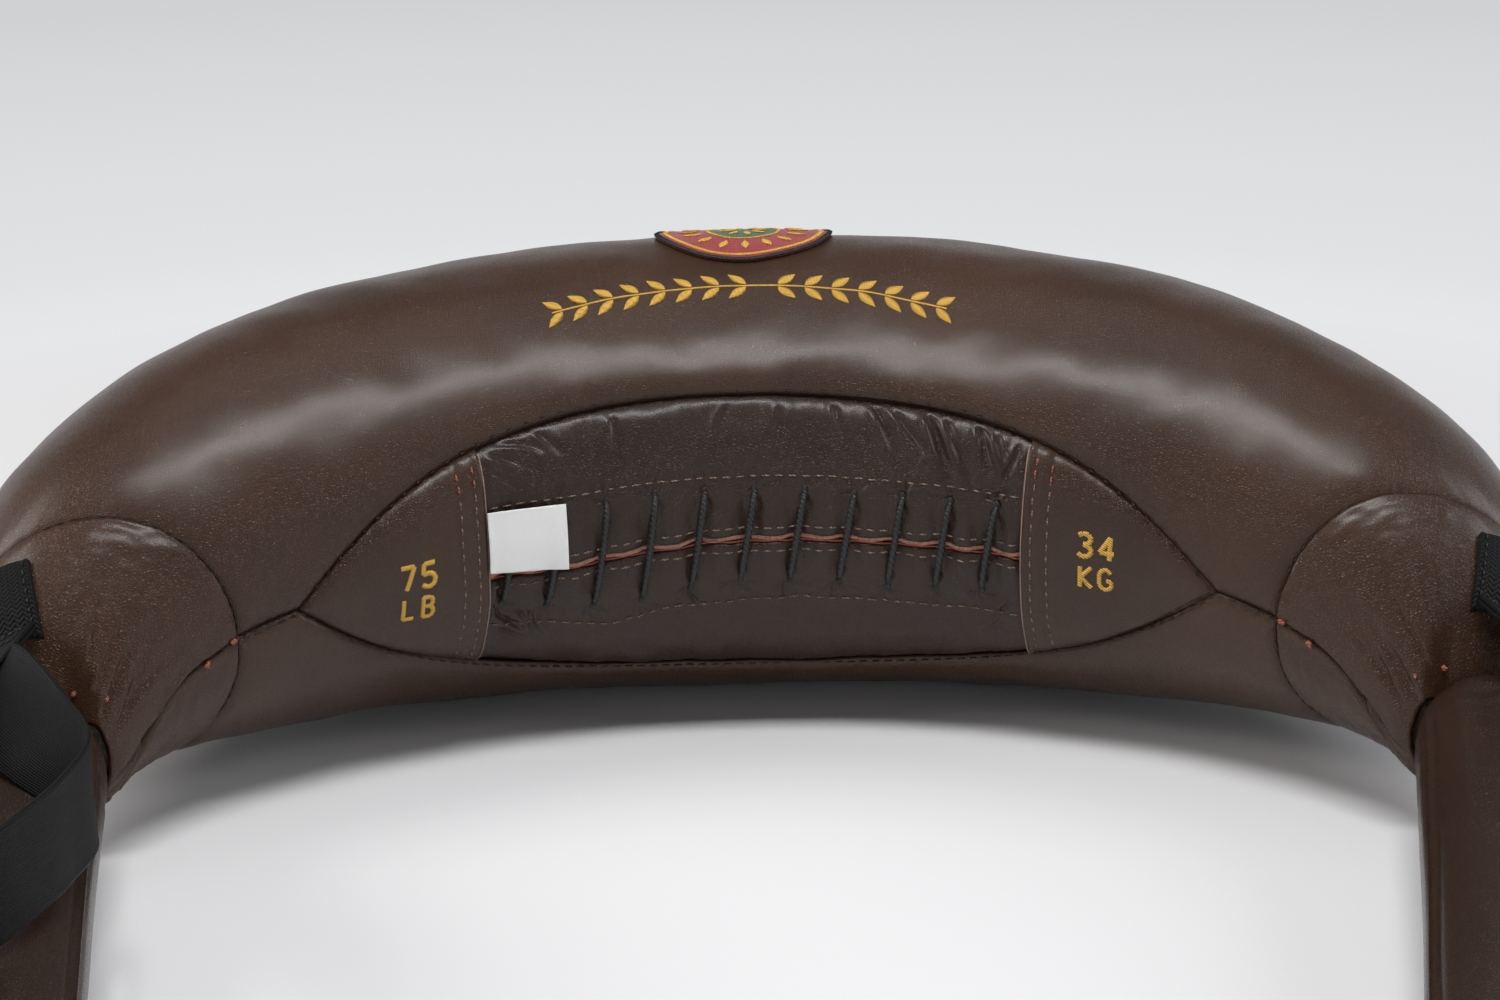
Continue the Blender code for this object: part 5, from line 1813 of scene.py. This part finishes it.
def hand_loop(middle, forward, out, flat, side, word):
    """The loop leaves the tab in one layer of its webbing and comes back in the other."""
    root = middle + forward * STRAP_HINGE_GAP + forward * TAB_LENGTH + forward * STRAP_HINGE_GAP
    face = forward.cross(flat)
    if face.z < 0:
        face.negate()
    shares = LOOP_SHARES[side]
    stations = []
    for number, (ahead, outside, above, roll) in enumerate(shares):
        spot = root + (forward * ahead + out * outside + UP * above) * LOOP_REACH
        spot += face * (STRAP_THICKNESS + SEAM_GAP) * (number / (len(shares) - 1) - 0.5)
        angle = roll * math.pi / 2
        stations.append((spot, -out * math.cos(angle) + UP * math.sin(angle)))
    loop = webbing_strip(word + "_hand_loop", ribbon_surface(stations), (260, 36), 0,
                         word + "_loop")
    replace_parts(loop, word + "_strap_loop")


for side, word in SIDES:
    strap_band(side, word)
    middle, forward, out = strap_frame(side)
    flat = -out * math.cos(TAB_ROLL) + UP * math.sin(TAB_ROLL)
    strap_tab(middle, forward, flat, word)
    hand_loop(middle, forward, out, flat, side, word)


# What is stuffed inside and shows only with the bag cut open: loose wool round three canvas
# sleeves of sand, and wool in the necks and arms.


def loose_wool():
    """Carded sheep's wool: cream tufts of about 5 mm, quite matt."""
    made, tree, _ = new_finish("carded_wool")
    spot = add(tree, "TexCoord").outputs["Object"]
    tufts = add(tree, "TexNoise", Vector=spot, Scale=180, Detail=5,
                Distortion=2).outputs["Fac"]
    return surfaced(made, tufts, ((0.3, "#b3a58c"), (0.75, "#e6dcc6")), 0.9, 0.002,
                    Roughness=0.95, Sheen_Weight=0.4)


def sleeve_canvas():
    """Unbleached cotton canvas: a plain weave of threads about 1 mm apart."""
    made, tree, _ = new_finish("cotton_canvas")
    spot = add(tree, "TexCoord").outputs["Object"]
    warp = add(tree, "TexWave", bands_direction="X", Vector=spot, Scale=260)
    weft = add(tree, "TexWave", bands_direction="Z", Vector=spot, Scale=260)
    weave = add(tree, "Math", operation="MULTIPLY", in0=warp.outputs["Fac"],
                in1=weft.outputs["Fac"]).outputs[0]
    return surfaced(made, weave, ((0, "#9c9478"), (1, "#cfc7aa")), 0.5, 0.0006, Roughness=0.9)


WOOL = loose_wool()
CANVAS = sleeve_canvas()
for name in frame["nodes"]:
    node = bpy.data.objects.get(name)
    if node is not None and not node.hide_render:
        finish = CANVAS if "sleeve" in name else WOOL
        for number in range(len(node.material_slots)):
            node.material_slots[number].material = finish
